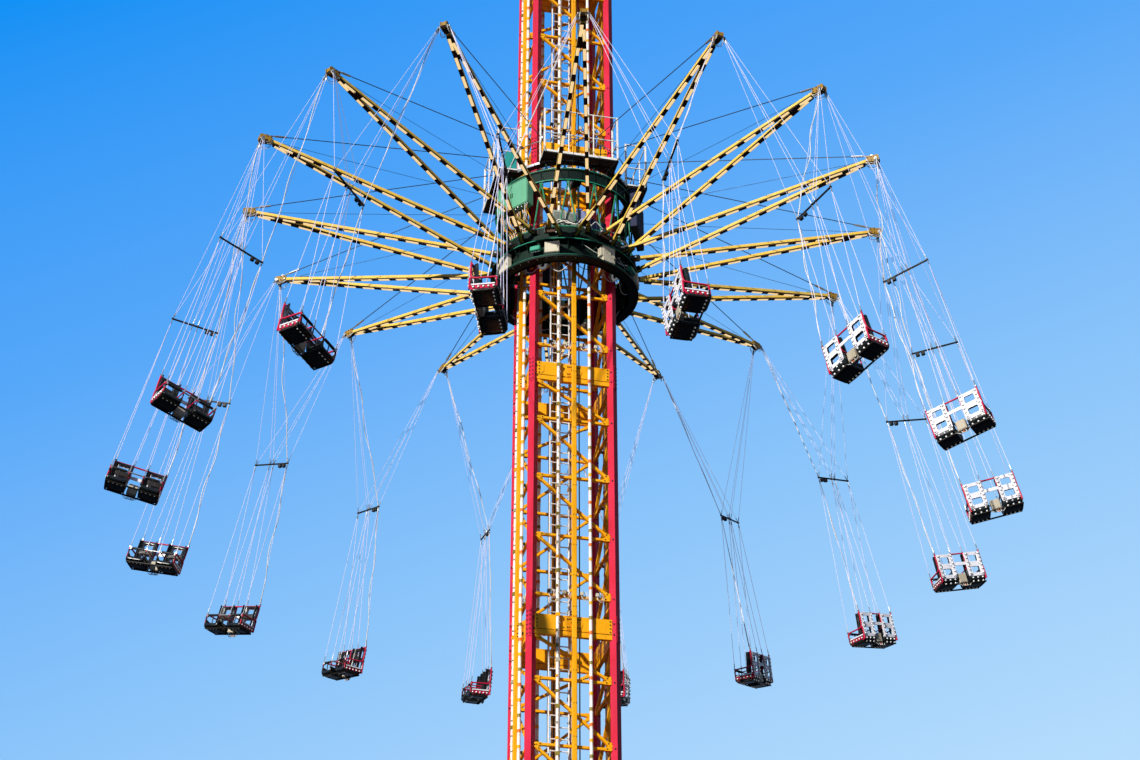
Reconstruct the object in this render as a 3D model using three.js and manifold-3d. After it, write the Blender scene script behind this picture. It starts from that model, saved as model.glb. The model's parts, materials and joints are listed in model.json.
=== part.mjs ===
// Chair swing ride: a lattice mast, a carriage that climbs it, a turning star of sixteen
// arms, and sixteen double chairs hung on cables between neighbouring arm tips.
// Units are millimetres, +Z is up, and the origin is the centre of the base frame's underside.
// The star, the carriage and the chairs stand as they do in flight.

import * as THREE from 'three';
import { mergeVertices } from 'three/addons/utils/BufferGeometryUtils.js';
import Module from 'manifold-3d';

const wasm = await Module();
wasm.setup();

// Fits
const GAP = 0.3; // between pieces that bear on each other

// Mast
const BASE_HEIGHT = 400; // of the grillage under the mast
const FIRST_BAY = 2200; // where the six repeated bays begin
const BAY = 6000;
const BAYS = 6;
const MAST_TOP = FIRST_BAY + BAY * BAYS;
const CHORD_AT = 875; // from the mast's axis to a chord's centre, along X and Y
const CHORD = 220; // from corner to corner of a chord's square tube, which stands on edge
const BAND = 450; // depth of the box band at each splice
const BAR = 70; // width of the lattice bars
const LATTICE_DEPTH = 90; // of the lattice, square to its face
const RUNGS_BELOW_SPLICE = [1390, 2790, 4180, 5550]; // horizontals, down from a band's top edge
const POST_WIDTH = 95;
const POST_FACE = 1045; // from the axis to the guide post's running face
const TUBE_AT = 320; // from the guide post to each round tube
const TUBE_RADIUS = 40;
const TUBE_OUT = 1030; // from the axis to the tubes' centres
const COLLAR_AT = 1650; // height of the collar that the rakers hold

// Carriage, measured from the plane of the arm feet
const RING_HEIGHT = FIRST_BAY + 4 * BAY + 3000;
const SLEEVE_IN = 1430;
const SLEEVE_OUT = 1490;
const DRUM_LOW = -650;
const DRUM_TOP = 200;
const TOP_RING_LOW = 1600;
const TOP_RING_TOP = 1750;
const SLEEVE_SIDES = 24;

// Star
const ARMS = 16;
const SHELL_SIDES = 2 * ARMS; // one flat for each arm foot
const ARM_STEP = (2 * Math.PI) / ARMS;
const STAR_TURN = THREE.MathUtils.degToRad(13); // where the first arm points
const SHELL_IN = 1510;
const SHELL_OUT = 1546;
const FLANGE_OUT = 1690;
const SHELL_TOP = 260;
const FLANGE_LOW = -185; // the shell's rim, under the arm feet
const CROWN_LOW = 1480; // the upper drum of the star's cage
const CROWN_TOP = 1810;
const CROWN_OUT = 1620;
const CROWN_SKIN = 30;
const DECK_IN = 1420; // of the service deck, which goes round the mast above the crown
const DECK_OUT = 1560;
const DECK_LOW = 2030;
const DECK_TOP = 2100;
const STAY_RING = 1450; // radius of the ring above the deck that the stays start from
const STAY_HEIGHT = 2780;
const ARM_REACH = 7400;
const TIP_RISE = 1460; // of an arm's tip over the ring
const ARM_TUBE = 90;
const FOOT_SPREAD = THREE.MathUtils.degToRad(16.875); // each side of the arm
const FOOT_LIFT = 150; // every second arm starts this much higher, so that tubes cross clear
const FOOT_RADIUS = 1575;
const PIVOT_DROP = 60; // of the chairs' pins under an arm's centre line

// Chairs, measured down from their pins while they hang straight
const SWING = THREE.MathUtils.degToRad(12.5); // how far the chairs fly out at rest
const PIN_RADIUS = 15; // the pins lie on the line from tip to tip and bear on the tips' sides
const TIP_HALF = 70; // half the width of a tip's bracket
const SPREADER_DROP = 4220;
const SPREADER_HALF = 500;
const PAN_DROP = 8350;
const CABLE_RADIUS = 8;
const SEATS_WIDE = 1130;
const SEAT_WIDE = 400; // of each of the two seats, which stand apart

const DEGREE_90 = Math.PI / 2;

function paint(color, roughness, metalness) {
  return new THREE.MeshStandardMaterial({ color, roughness, metalness });
}

const crimson = paint(0xd8204f, 0.45, 0.2);
const yellow = paint(0xf2a50c, 0.5, 0.2);
const darkGreen = paint(0x10241d, 0.55, 0.3);
const steel = paint(0xb9bdc4, 0.4, 0.8);
const galvanised = paint(0xd5d7da, 0.45, 0.6);
const cabinetGreen = paint(0x63b08c, 0.5, 0.1);
const cabinetCream = paint(0xc9c6b6, 0.6, 0.1);
const cabinetBlue = paint(0x2c3f78, 0.5, 0.1);
const redFrame = paint(0xa81834, 0.5, 0.3);

const model = new THREE.Group();

function addMesh(parent, name, geometry, material) {
  const mesh = new THREE.Mesh(geometry, material);
  mesh.name = name;
  parent.add(mesh);
  return mesh;
}

function toSolid(geometry) {
  const bare = geometry.clone();
  bare.deleteAttribute('normal');
  bare.deleteAttribute('uv');
  const merged = mergeVertices(bare, 0.001);
  const mesh = new wasm.Mesh({
    numProp: 3,
    vertProperties: new Float32Array(merged.attributes.position.array),
    triVerts: new Uint32Array(merged.index.array),
  });
  return new wasm.Manifold(mesh);
}

function toGeometry(solid) {
  const { vertProperties, triVerts } = solid.getMesh();
  const geometry = new THREE.BufferGeometry();
  geometry.setAttribute('position', new THREE.BufferAttribute(new Float32Array(vertProperties), 3));
  geometry.setIndex(new THREE.BufferAttribute(new Uint32Array(triVerts), 1));
  geometry.computeVertexNormals();
  return geometry;
}

function join(pieces) {
  let whole = toSolid(pieces[0]);
  for (const piece of pieces.slice(1)) {
    whole = whole.add(toSolid(piece));
  }
  return toGeometry(whole);
}

function cutAway(geometry, tools) {
  let left = toSolid(geometry);
  for (const tool of tools) {
    left = left.subtract(toSolid(tool));
  }
  return toGeometry(left);
}

function block(low, high) {
  const box = new THREE.BoxGeometry(high[0] - low[0], high[1] - low[1], high[2] - low[2]);
  return box.translate((low[0] + high[0]) / 2, (low[1] + high[1]) / 2, (low[2] + high[2]) / 2);
}

// A straight bar of box section between two points, its height kept as upright as it can be.
function bar(from, to, width, height) {
  const start = new THREE.Vector3(...from);
  const along = new THREE.Vector3(...to).sub(start);
  const length = along.length();
  const forward = along.clone().normalize();
  const upright = Math.abs(forward.z) > 0.999 ? new THREE.Vector3(0, 1, 0) : new THREE.Vector3(0, 0, 1);
  const side = new THREE.Vector3().crossVectors(upright, forward).normalize();
  const up = new THREE.Vector3().crossVectors(forward, side);
  const turn = new THREE.Matrix4().makeBasis(forward, side, up);
  const geometry = new THREE.BoxGeometry(length, width, height);
  return geometry.applyMatrix4(turn).translate(...start.addScaledVector(along, 0.5).toArray());
}

// A straight round rod, or a rope where it has few sides, between two points.
function rod(from, to, radius, sides) {
  const start = new THREE.Vector3(...from);
  const along = new THREE.Vector3(...to).sub(start);
  const upright = new THREE.Vector3(0, 1, 0);
  const turn = new THREE.Quaternion().setFromUnitVectors(upright, along.clone().normalize());
  const geometry = new THREE.CylinderGeometry(radius, radius, along.length(), sides);
  return geometry.applyQuaternion(turn).translate(...start.addScaledVector(along, 0.5).toArray());
}

// A closed profile of [radius, height] points, turned about the mast's axis.
function turned(profile, sides) {
  const closed = [...profile, profile[0]].map(([radius, height]) => new THREE.Vector2(radius, height));
  return new THREE.LatheGeometry(closed, sides).rotateX(DEGREE_90);
}

function onCircle(radius, angle, height) {
  return [radius * Math.cos(angle), radius * Math.sin(angle), height];
}

// Base: a grillage of six beams, and rakers up to a collar round the mast's foot
function baseFrame() {
  const reach = 1900;
  const beam = 150;
  const pieces = [];
  for (const at of [-CHORD_AT, 0, CHORD_AT]) {
    pieces.push(block([-reach, at - beam, 0], [reach, at + beam, BASE_HEIGHT]));
    pieces.push(block([at - beam, -reach, 0], [at + beam, reach, BASE_HEIGHT]));
  }
  const inner = CHORD_AT + CHORD / 2 + GAP;
  const outer = inner + 100;
  const low = COLLAR_AT - 100;
  const high = COLLAR_AT + 100;
  for (const side of [-1, 1]) {
    const y = [side * inner, side * outer].sort((a, b) => a - b);
    pieces.push(block([-outer, y[0], low], [outer, y[1], high]));
    pieces.push(block([y[0], -outer, low], [y[1], outer, high]));
    for (const at of [-CHORD_AT, CHORD_AT]) {
      const foot = side * (reach - 100);
      const head = side * (inner + 60);
      pieces.push(bar([foot, at, BASE_HEIGHT - 60], [head, at, COLLAR_AT], 90, 90));
      pieces.push(bar([at, foot, BASE_HEIGHT - 60], [at, head, COLLAR_AT], 90, 90));
    }
  }
  return join(pieces);
}

function chord(signX, signY) {
  const x = signX * CHORD_AT;
  const y = signY * CHORD_AT;
  return rod([x, y, BASE_HEIGHT + GAP], [x, y, MAST_TOP], CHORD / 2, 4);
}

// A flat ribbon of even width along a line of [x, z] points, with mitred corners,
// standing in the plane of a mast face
function ribbon(points, width, depth) {
  const line = points.map(([x, z]) => new THREE.Vector2(x, z));
  const left = [];
  const right = [];
  line.forEach((point, i) => {
    const before = line[Math.max(i - 1, 0)];
    const after = line[Math.min(i + 1, line.length - 1)];
    const into = (i > 0 ? point.clone().sub(before) : after.clone().sub(point)).normalize();
    const out = (i < line.length - 1 ? after.clone().sub(point) : point.clone().sub(before)).normalize();
    const mitre = into.clone().add(out).normalize();
    const normal = new THREE.Vector2(-mitre.y, mitre.x);
    const reach = width / 2 / Math.max(normal.dot(new THREE.Vector2(-into.y, into.x)), 0.3);
    left.push(point.clone().addScaledVector(normal, reach));
    right.push(point.clone().addScaledVector(normal, -reach));
  });
  const shape = new THREE.Shape([...left, ...right.reverse()]);
  const geometry = new THREE.ExtrudeGeometry(shape, { depth, bevelEnabled: false });
  return geometry.rotateX(DEGREE_90).translate(0, -CHORD_AT + depth / 2, 0);
}

// One side of the mast, made as the side that looks along -Y: the bands, between them
// a zigzag of horizontals and of diagonals that all fall to the right, and in front
// the guide post between its two round tubes. The chords' facets notch every end.
function mastFace() {
  const half = CHORD_AT - 0.35 * (CHORD / 2);
  const front = -CHORD_AT - LATTICE_DEPTH / 2;
  const back = -CHORD_AT + LATTICE_DEPTH / 2;
  const reach = CHORD_AT - CHORD / 2 - 5; // the mitred corners end inside the notches
  const pieces = [];
  for (let splice = 0; splice <= BAYS; splice += 1) {
    const top = FIRST_BAY + splice * BAY;
    pieces.push(block([-half, front, top - BAND], [half, back, top]));
    const drops = splice === 0 ? [FIRST_BAY - BASE_HEIGHT - 300] : RUNGS_BELOW_SPLICE;
    const zigzag = [[-reach, top - BAND + BAR]];
    for (const drop of drops) {
      zigzag.push([reach, top - drop], [-reach, top - drop]);
    }
    if (splice > 0) {
      zigzag.push([-reach, top - BAY - BAR]);
    }
    pieces.push(ribbon(zigzag, BAR, LATTICE_DEPTH - 20));
  }
  for (let splice = 0; splice <= BAYS; splice += 2) {
    const middle = FIRST_BAY + splice * BAY - BAND / 2;
    pieces.push(block([-TUBE_AT, -TUBE_OUT, middle - 30], [TUBE_AT, front + 20, middle + 30]));
  }
  const railFoot = COLLAR_AT + 120;
  pieces.push(block([-POST_WIDTH / 2, -POST_FACE, railFoot], [POST_WIDTH / 2, front - 5, MAST_TOP]));
  for (const side of [-1, 1]) {
    const x = side * TUBE_AT;
    pieces.push(rod([x, -TUBE_OUT, railFoot], [x, -TUBE_OUT, MAST_TOP], TUBE_RADIUS, 4));
  }
  const grown = CHORD / 2 + 1.5 * GAP;
  const notches = [-CHORD_AT, CHORD_AT].map((x) => {
    return rod([x, -CHORD_AT, 0], [x, -CHORD_AT, MAST_TOP + 100], grown, 4);
  });
  return cutAway(join(pieces), notches);
}

function ladder() {
  const x = -235;
  const y = -600;
  const half = 210;
  const stile = 25;
  const foot = BASE_HEIGHT + GAP;
  const rungStep = 1500;
  const pieces = [];
  for (const side of [-1, 1]) {
    const at = x + side * half;
    pieces.push(block([at - stile / 2, y - stile, foot], [at + stile / 2, y + stile, MAST_TOP]));
  }
  for (let height = foot + 300; height < MAST_TOP; height += rungStep) {
    pieces.push(block([x - half, y - 12, height - 12], [x + half, y + 12, height + 12]));
  }
  const wall = -CHORD_AT + LATTICE_DEPTH / 2 + GAP;
  for (let splice = 0; splice <= BAYS; splice += 1) {
    const middle = FIRST_BAY + splice * BAY - BAND / 2;
    pieces.push(block([x + half - 12, wall, middle - 25], [x + half + 12, y, middle + 25]));
  }
  return join(pieces);
}

const SHEAVE_AT = 270; // from the axis, along X
const SHEAVE_RADIUS = 280;
const SHEAVE_HEIGHT = MAST_TOP + 640;
const ROPE_RADIUS = 14;

// Head: a square of beams on the chords, two pairs of bearers, and a hoist sheave on each
function headFrame() {
  const low = MAST_TOP + GAP;
  const high = MAST_TOP + 300;
  const out = CHORD_AT + CHORD / 2;
  const inn = CHORD_AT - CHORD / 2;
  const pieces = [];
  for (const side of [-1, 1]) {
    const y = [side * inn, side * out].sort((a, b) => a - b);
    pieces.push(block([-out, y[0], low], [out, y[1], high]));
    pieces.push(block([y[0], -out, low], [y[1], out, high]));
    const sheaveX = side * SHEAVE_AT;
    for (const offset of [-80, 80]) {
      const x = sheaveX + offset;
      pieces.push(block([x - 25, -out + 50, low], [x + 25, out - 50, high]));
      pieces.push(block([x - 20, -120, high - 50], [x + 20, 120, SHEAVE_HEIGHT + 100]));
    }
    const axle = [sheaveX - 130, 0, SHEAVE_HEIGHT];
    pieces.push(rod(axle, [sheaveX + 130, 0, SHEAVE_HEIGHT], 40, 6));
    pieces.push(rod([sheaveX - 35, 0, SHEAVE_HEIGHT], [sheaveX + 35, 0, SHEAVE_HEIGHT], SHEAVE_RADIUS, 16));
  }
  return join(pieces);
}

function hoistRopes() {
  const foot = BASE_HEIGHT + GAP;
  const out = SHEAVE_RADIUS + ROPE_RADIUS + GAP;
  const pieces = [block([-SHEAVE_AT - 60, -out - 60, foot], [SHEAVE_AT + 60, out + 60, foot + 25])];
  for (const side of [-1, 1]) {
    for (const edge of [-1, 1]) {
      const x = side * SHEAVE_AT;
      pieces.push(rod([x, edge * out, foot + 10], [x, edge * out, SHEAVE_HEIGHT], ROPE_RADIUS, 4));
    }
  }
  return join(pieces);
}

// Carriage: the sleeve round the mast, its top ring, the posts between, and the guide blocks
function carriageFrame() {
  const bearing = [
    [SLEEVE_IN, DRUM_LOW],
    [FLANGE_OUT, DRUM_LOW],
    [FLANGE_OUT, DRUM_LOW + 50],
    [SLEEVE_OUT, DRUM_LOW + 50],
    [SLEEVE_OUT, DRUM_TOP],
    [SLEEVE_IN, DRUM_TOP],
  ];
  const crown = [
    [SLEEVE_IN, TOP_RING_LOW],
    [SLEEVE_OUT + 40, TOP_RING_LOW],
    [SLEEVE_OUT + 40, TOP_RING_TOP],
    [SLEEVE_IN, TOP_RING_TOP],
  ];
  const pieces = [turned(bearing, SLEEVE_SIDES), turned(crown, SLEEVE_SIDES)];
  for (let post = 0; post < 8; post += 1) {
    const angle = (post * Math.PI) / 4;
    const from = onCircle(SLEEVE_IN + 28, angle, DRUM_TOP - 60);
    pieces.push(rod(from, onCircle(SLEEVE_IN + 28, angle, TOP_RING_LOW + 60), 25, 4));
  }
  const outer = -SLEEVE_IN - 20;
  const inner = -POST_FACE - GAP;
  for (let side = 0; side < 4; side += 1) {
    for (const height of [-350, TOP_RING_LOW + 75]) {
      const guide = block([-90, outer, height - 70], [90, inner, height + 70]);
      pieces.push(guide.rotateZ(side * DEGREE_90));
    }
  }
  return join(pieces);
}

// Switch cabinets on the sleeve's top edge, made as they stand on the side that looks along -Y
function louvredCabinets() {
  const foot = DRUM_TOP + GAP;
  const louvred = block([-580, -1365, foot], [-20, -1150, foot + 580]);
  return join([louvred, block([-30, -1420, foot], [210, -1200, foot + 600])]);
}

function lowCabinet() {
  const foot = DRUM_TOP + GAP;
  return block([-210, -1450, foot], [210, -1230, foot + 420]);
}

// The cabinet that hangs outside the struts, on two straps from the crown
function hungCabinet() {
  const back = -CROWN_OUT - GAP;
  const top = CROWN_LOW + 30;
  const pieces = [block([-460, back - 230, top - 700], [460, back, top])];
  for (const at of [-60, 60]) {
    pieces.push(block([at - 25, back - 20, top - 50], [at + 25, back, top + 120]));
  }
  return join(pieces);
}

// Star: the shell that carries the arm feet, the crown above it, the struts between, and
// two dark cabinets on the crown's outside
function starCage() {
  const shell = [
    [SHELL_IN, DRUM_LOW + 50 + GAP],
    [SHELL_OUT, DRUM_LOW + 50 + GAP],
    [SHELL_OUT, FLANGE_LOW],
    [FLANGE_OUT, FLANGE_LOW],
    [FLANGE_OUT, FLANGE_LOW + 30],
    [SHELL_OUT, FLANGE_LOW + 30],
    [SHELL_OUT, SHELL_TOP],
    [SHELL_IN, SHELL_TOP],
  ];
  const inner = SHELL_IN + 50;
  const lip = 45;
  const crown = [
    [inner, CROWN_LOW],
    [CROWN_OUT, CROWN_LOW],
    [CROWN_OUT, CROWN_LOW + lip],
    [inner + CROWN_SKIN, CROWN_LOW + lip],
    [inner + CROWN_SKIN, CROWN_TOP - lip],
    [CROWN_OUT, CROWN_TOP - lip],
    [CROWN_OUT, CROWN_TOP],
    [inner, CROWN_TOP],
  ];
  const pieces = [shell, crown].map((profile) => turned(profile, SHELL_SIDES).rotateZ(STAR_TURN));
  for (let strut = 0; strut < ARMS; strut += 1) {
    const apex = STAR_TURN + Math.floor(strut / 2) * 2 * ARM_STEP;
    const lean = strut % 2 === 0 ? -0.33 : 0.33;
    const foot = onCircle(1518, apex + lean * ARM_STEP, SHELL_TOP - 20);
    pieces.push(rod(foot, onCircle(1585, apex, CROWN_LOW + 20), 16, 4));
  }
  for (const turn of [67, 187]) {
    const back = -CROWN_OUT - 5;
    const cabinet = [block([-520, back - 175, 760], [520, back, CROWN_TOP - 10])];
    for (const low of [CROWN_LOW + 5, CROWN_TOP - lip + 5]) {
      cabinet.push(block([-80, back - 20, low], [80, back + 40, low + 30]));
    }
    pieces.push(...cabinet.map((piece) => piece.rotateZ(THREE.MathUtils.degToRad(turn))));
  }
  return join(pieces);
}

// Service deck round the mast above the crown: a narrow ring, widened on each side of the
// mast to a platform with a guard rail, on legs from the crown's top
function servicePlatform() {
  const half = 875;
  const near = -1780;
  const far = -1280;
  const tube = 20;
  const railTop = DECK_TOP + 1200;
  const ring = [
    [DECK_IN, DECK_LOW],
    [DECK_OUT, DECK_LOW],
    [DECK_OUT, DECK_TOP],
    [DECK_IN, DECK_TOP],
  ];
  const decks = [turned(ring, SHELL_SIDES)];
  const rails = [];
  const corners = [
    [-half + tube, far],
    [-half + tube, near + tube],
    [half - tube, near + tube],
    [half - tube, far],
  ];
  for (let side = 0; side < 4; side += 1) {
    const turn = (piece) => piece.rotateZ(side * DEGREE_90);
    decks.push(turn(block([-half, near, DECK_LOW], [half, -DECK_IN + 330, DECK_TOP])));
    for (const [x, y] of corners) {
      rails.push(turn(block([x - tube, y - tube, DECK_TOP - 20], [x + tube, y + tube, railTop])));
    }
    for (const height of [DECK_TOP + 520, railTop - 13]) {
      for (let corner = 0; corner < 3; corner += 1) {
        const [x0, y0] = corners[corner];
        const [x1, y1] = corners[corner + 1];
        rails.push(turn(bar([x0, y0, height], [x1, y1, height], 26, 26)));
      }
    }
    for (const offset of [-28, -12, 12, 28]) {
      const leg = block([1570, -20, CROWN_TOP + GAP], [1610, 20, DECK_LOW + 10]);
      leg.rotateZ(THREE.MathUtils.degToRad(offset) - DEGREE_90);
      rails.push(turn(leg));
    }
  }
  const well = rod([0, 0, DECK_LOW - 100], [0, 0, DECK_TOP + 100], DECK_IN, SHELL_SIDES);
  return join([cutAway(join(decks), [well]), ...rails]);
}

function footAngle(arm, side) {
  return arm * ARM_STEP + side * FOOT_SPREAD;
}

function footLift(arm) {
  return arm % 2 === 0 ? 0 : FOOT_LIFT;
}

function footPoint(arm, side, radius) {
  return onCircle(radius, footAngle(arm, side), footLift(arm));
}

// One arm, made as a V of two tubes that points along its own angle
function armPieces(arm) {
  const angle = arm * ARM_STEP;
  const place = (piece) => piece.rotateZ(angle);
  const lift = footLift(arm);
  const pieces = [];
  for (const side of [-1, 1]) {
    const tip = onCircle(ARM_REACH - 60, angle, TIP_RISE);
    pieces.push(bar(footPoint(arm, side, FOOT_RADIUS), tip, ARM_TUBE, ARM_TUBE));
    const flat = SHELL_OUT * Math.cos(Math.PI / SHELL_SIDES) + GAP;
    const plate = block([flat, -95, lift - 60], [flat + 60, 95, lift + 90]);
    pieces.push(plate.rotateZ(footAngle(arm, side)));
  }
  const gusset = block([6590, -105, TIP_RISE - 250], [6710, 105, TIP_RISE - 100]);
  const bracketLow = [ARM_REACH - 250, -TIP_HALF, TIP_RISE - 110];
  const bracket = block(bracketLow, [ARM_REACH + 50, TIP_HALF, TIP_RISE + 60]);
  pieces.push(place(gusset), place(bracket));
  return pieces;
}

// Two neighbouring arms, whose crossing tubes share one foot bar on the star's shell
function armPair(first) {
  const pieces = [...armPieces(first), ...armPieces(first + 1)];
  const level = FOOT_LIFT / 2 + 15;
  const from = onCircle(FOOT_RADIUS + 52, footAngle(first + 1, -1), level);
  pieces.push(bar(from, onCircle(FOOT_RADIUS + 52, footAngle(first, 1), level), 60, 120));
  return join(pieces);
}

// Stays: a ring on posts at the deck's inner edge, and a rope from it to every arm's tip
function stays() {
  const ring = [
    [STAY_RING - 18, STAY_HEIGHT - 28],
    [STAY_RING + 18, STAY_HEIGHT - 28],
    [STAY_RING + 18, STAY_HEIGHT + 28],
    [STAY_RING - 18, STAY_HEIGHT + 28],
  ];
  const pieces = [turned(ring, SHELL_SIDES).rotateZ(STAR_TURN)];
  for (let post = 0; post < 8; post += 1) {
    const angle = (post + 0.5) * (Math.PI / 4);
    const foot = onCircle(STAY_RING, angle, DECK_TOP + GAP);
    pieces.push(rod(foot, onCircle(STAY_RING, angle, STAY_HEIGHT), 18, 6));
  }
  for (let arm = 0; arm < ARMS; arm += 1) {
    const angle = arm * ARM_STEP + STAR_TURN;
    const inner = onCircle(STAY_RING, angle, STAY_HEIGHT);
    pieces.push(rod(inner, onCircle(ARM_REACH - 120, angle, TIP_RISE + 75), 12, 3));
  }
  return join(pieces);
}

// Hanger: a pin at each arm tip, the cables that fan from it to the spreader bar,
// and the cables from the bar down to the seats. X is outwards and Y is the way of flight.
const TIP_APART = ARM_REACH * Math.sin(ARM_STEP / 2); // half the way from tip to tip
const PIN_START = (TIP_HALF + PIN_RADIUS * Math.sin(ARM_STEP / 2) + GAP) / Math.cos(ARM_STEP / 2);
const PIN_LENGTH = 60;
const ARM_TOP = PAN_DROP - 240; // of the seats' side frames, where the front cables end
const BACK_TOP = PAN_DROP - 640; // of the rear posts, where the rear cables end
const SIDE_AT = SEATS_WIDE / 2 - 20;
const FRONT_AT = 195;
const REAR_AT = -285;
const CABLE_SEAT = 0.8; // lifts a slanting cable's end clear of the flat that it meets

function hanger() {
  const reach = SPREADER_HALF + 20;
  const pieces = [bar([-reach, 0, -SPREADER_DROP], [reach, 0, -SPREADER_DROP], 32, 32)];
  for (const end of [-1, 1]) {
    const outer = end * (TIP_APART - PIN_START);
    const inner = outer - end * PIN_LENGTH;
    pieces.push(rod([0, outer, 0], [0, inner, 0], PIN_RADIUS, 6));
    for (const side of [-1, 1]) {
      const from = [0, inner + end * 15, 0];
      pieces.push(rod(from, [side * SPREADER_HALF, 0, -SPREADER_DROP], CABLE_RADIUS, 3));
    }
  }
  for (const side of [-1, 1]) {
    const from = [side * SPREADER_HALF, 0, -SPREADER_DROP];
    pieces.push(rod(from, [side * SIDE_AT, FRONT_AT, -ARM_TOP + CABLE_SEAT], CABLE_RADIUS, 3));
    pieces.push(rod(from, [side * SIDE_AT, REAR_AT, -BACK_TOP + CABLE_SEAT], CABLE_RADIUS, 3));
  }
  return join(pieces);
}

// An outline of [y, z] points, extruded across the chair between two places on X
function acrossChair(points, from, to) {
  const shape = new THREE.Shape(points.map(([y, z]) => new THREE.Vector2(y, z)));
  const geometry = new THREE.ExtrudeGeometry(shape, { depth: to - from, bevelEnabled: false });
  return geometry.rotateX(DEGREE_90).rotateZ(DEGREE_90).translate(from, 0, 0);
}

// Two seats side by side with a gap between: each a pan and a back with two openings. Tubes
// under the pans and over the backs tie them, with a strip and a box in the gap; a side
// frame stands at each end, and the lap bar goes across both.
function seats() {
  const pan = -PAN_DROP;
  const shell = [
    [225, pan - 70],
    [225, pan],
    [-185, pan - 25],
    [-235, pan + 590],
    [-280, pan + 590],
    [-250, pan - 95],
  ];
  const frame = [
    [FRONT_AT + 20, pan - 60],
    [FRONT_AT + 20, -ARM_TOP],
    [REAR_AT + 18, -ARM_TOP],
    [REAR_AT + 18, -BACK_TOP],
    [REAR_AT - 18, -BACK_TOP],
    [REAR_AT - 18, pan - 60],
  ];
  const inner = SIDE_AT - SEAT_WIDE;
  const pieces = [];
  for (const end of [-1, 1]) {
    const [low, high] = [end * inner, end * SIDE_AT].sort((a, b) => a - b);
    const middle = (low + high) / 2;
    const openings = [[110, 250], [380, 530]].map(([from, to]) => {
      return block([middle - 120, -320, pan + from], [middle + 120, -140, pan + to]);
    });
    pieces.push(cutAway(acrossChair(shell, low, high), openings));
    pieces.push(acrossChair(frame, end * SIDE_AT - 20, end * SIDE_AT + 20));
  }
  pieces.push(block([-SIDE_AT, 170, -ARM_TOP - 45], [SIDE_AT, 200, -ARM_TOP - 15]));
  pieces.push(block([-SIDE_AT, 140, pan - 95], [SIDE_AT, 180, pan - 55]));
  pieces.push(block([-SIDE_AT, -240, pan - 120], [SIDE_AT, -200, pan - 80]));
  pieces.push(block([-SIDE_AT, -280, pan + 570], [SIDE_AT, -245, pan + 605]));
  pieces.push(block([-inner - 10, -255, pan + 300], [inner + 10, -235, pan + 370]));
  pieces.push(block([-100, -235, pan - 100], [100, -110, pan + 130]));
  return join(pieces);
}

addMesh(model, 'base_frame', baseFrame(), darkGreen);
addMesh(model, 'mast_chord_front_left', chord(-1, -1), crimson);
addMesh(model, 'mast_chord_front_right', chord(1, -1), crimson);
addMesh(model, 'mast_chord_back_right', chord(1, 1), crimson);
addMesh(model, 'mast_chord_back_left', chord(-1, 1), crimson);

['front', 'right', 'back', 'left'].forEach((side, turn) => {
  const face = addMesh(model, `mast_face_${side}`, mastFace(), yellow);
  face.rotation.z = turn * DEGREE_90;
});
addMesh(model, 'mast_ladder', ladder(), galvanised);
addMesh(model, 'head_frame', headFrame(), yellow);
addMesh(model, 'hoist_ropes', hoistRopes(), steel);

const carriage = new THREE.Group();
carriage.position.z = RING_HEIGHT;
model.add(carriage);
addMesh(carriage, 'carriage_frame', carriageFrame(), darkGreen);
addMesh(carriage, 'cabinet_louvred', louvredCabinets(), cabinetCream);
addMesh(carriage, 'cabinet_blue', lowCabinet(), cabinetBlue).rotation.z = THREE.MathUtils.degToRad(20);

const star = new THREE.Group();
star.position.z = RING_HEIGHT;
model.add(star);
addMesh(star, 'star_cage', starCage(), darkGreen);
addMesh(star, 'service_platform', servicePlatform(), galvanised);
addMesh(star, 'star_stays', stays(), steel);
addMesh(star, 'cabinet_green', hungCabinet(), cabinetGreen).rotation.z = THREE.MathUtils.degToRad(-53);
for (let pair = 0; pair < ARMS / 2; pair += 1) {
  const arms = addMesh(star, `arm_pair_${pair + 1}`, armPair(pair * 2), yellow);
  arms.rotation.z = STAR_TURN;
}

for (let chair = 0; chair < ARMS; chair += 1) {
  const label = String(chair + 1).padStart(2, '0');
  const around = new THREE.Group();
  around.position.z = RING_HEIGHT + TIP_RISE - PIVOT_DROP;
  around.rotation.z = STAR_TURN + (chair + 0.5) * ARM_STEP;
  const hung = new THREE.Group();
  hung.position.x = ARM_REACH * Math.cos(ARM_STEP / 2);
  hung.rotation.y = -SWING;
  around.add(hung);
  model.add(around);
  addMesh(hung, `hanger_${label}`, hanger(), steel);
  addMesh(hung, `seats_${label}`, seats(), redFrame);
}

export default model;
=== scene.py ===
"""Looks of the chair swing ride: a lattice mast, the carriage that climbs it, the turning star
of sixteen V arms, and sixteen double chairs hung on fanned cables. All sizes are in metres."""

import functools
import json
import math
import random

import bmesh
import bpy
from mathutils import Matrix, Vector


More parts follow.
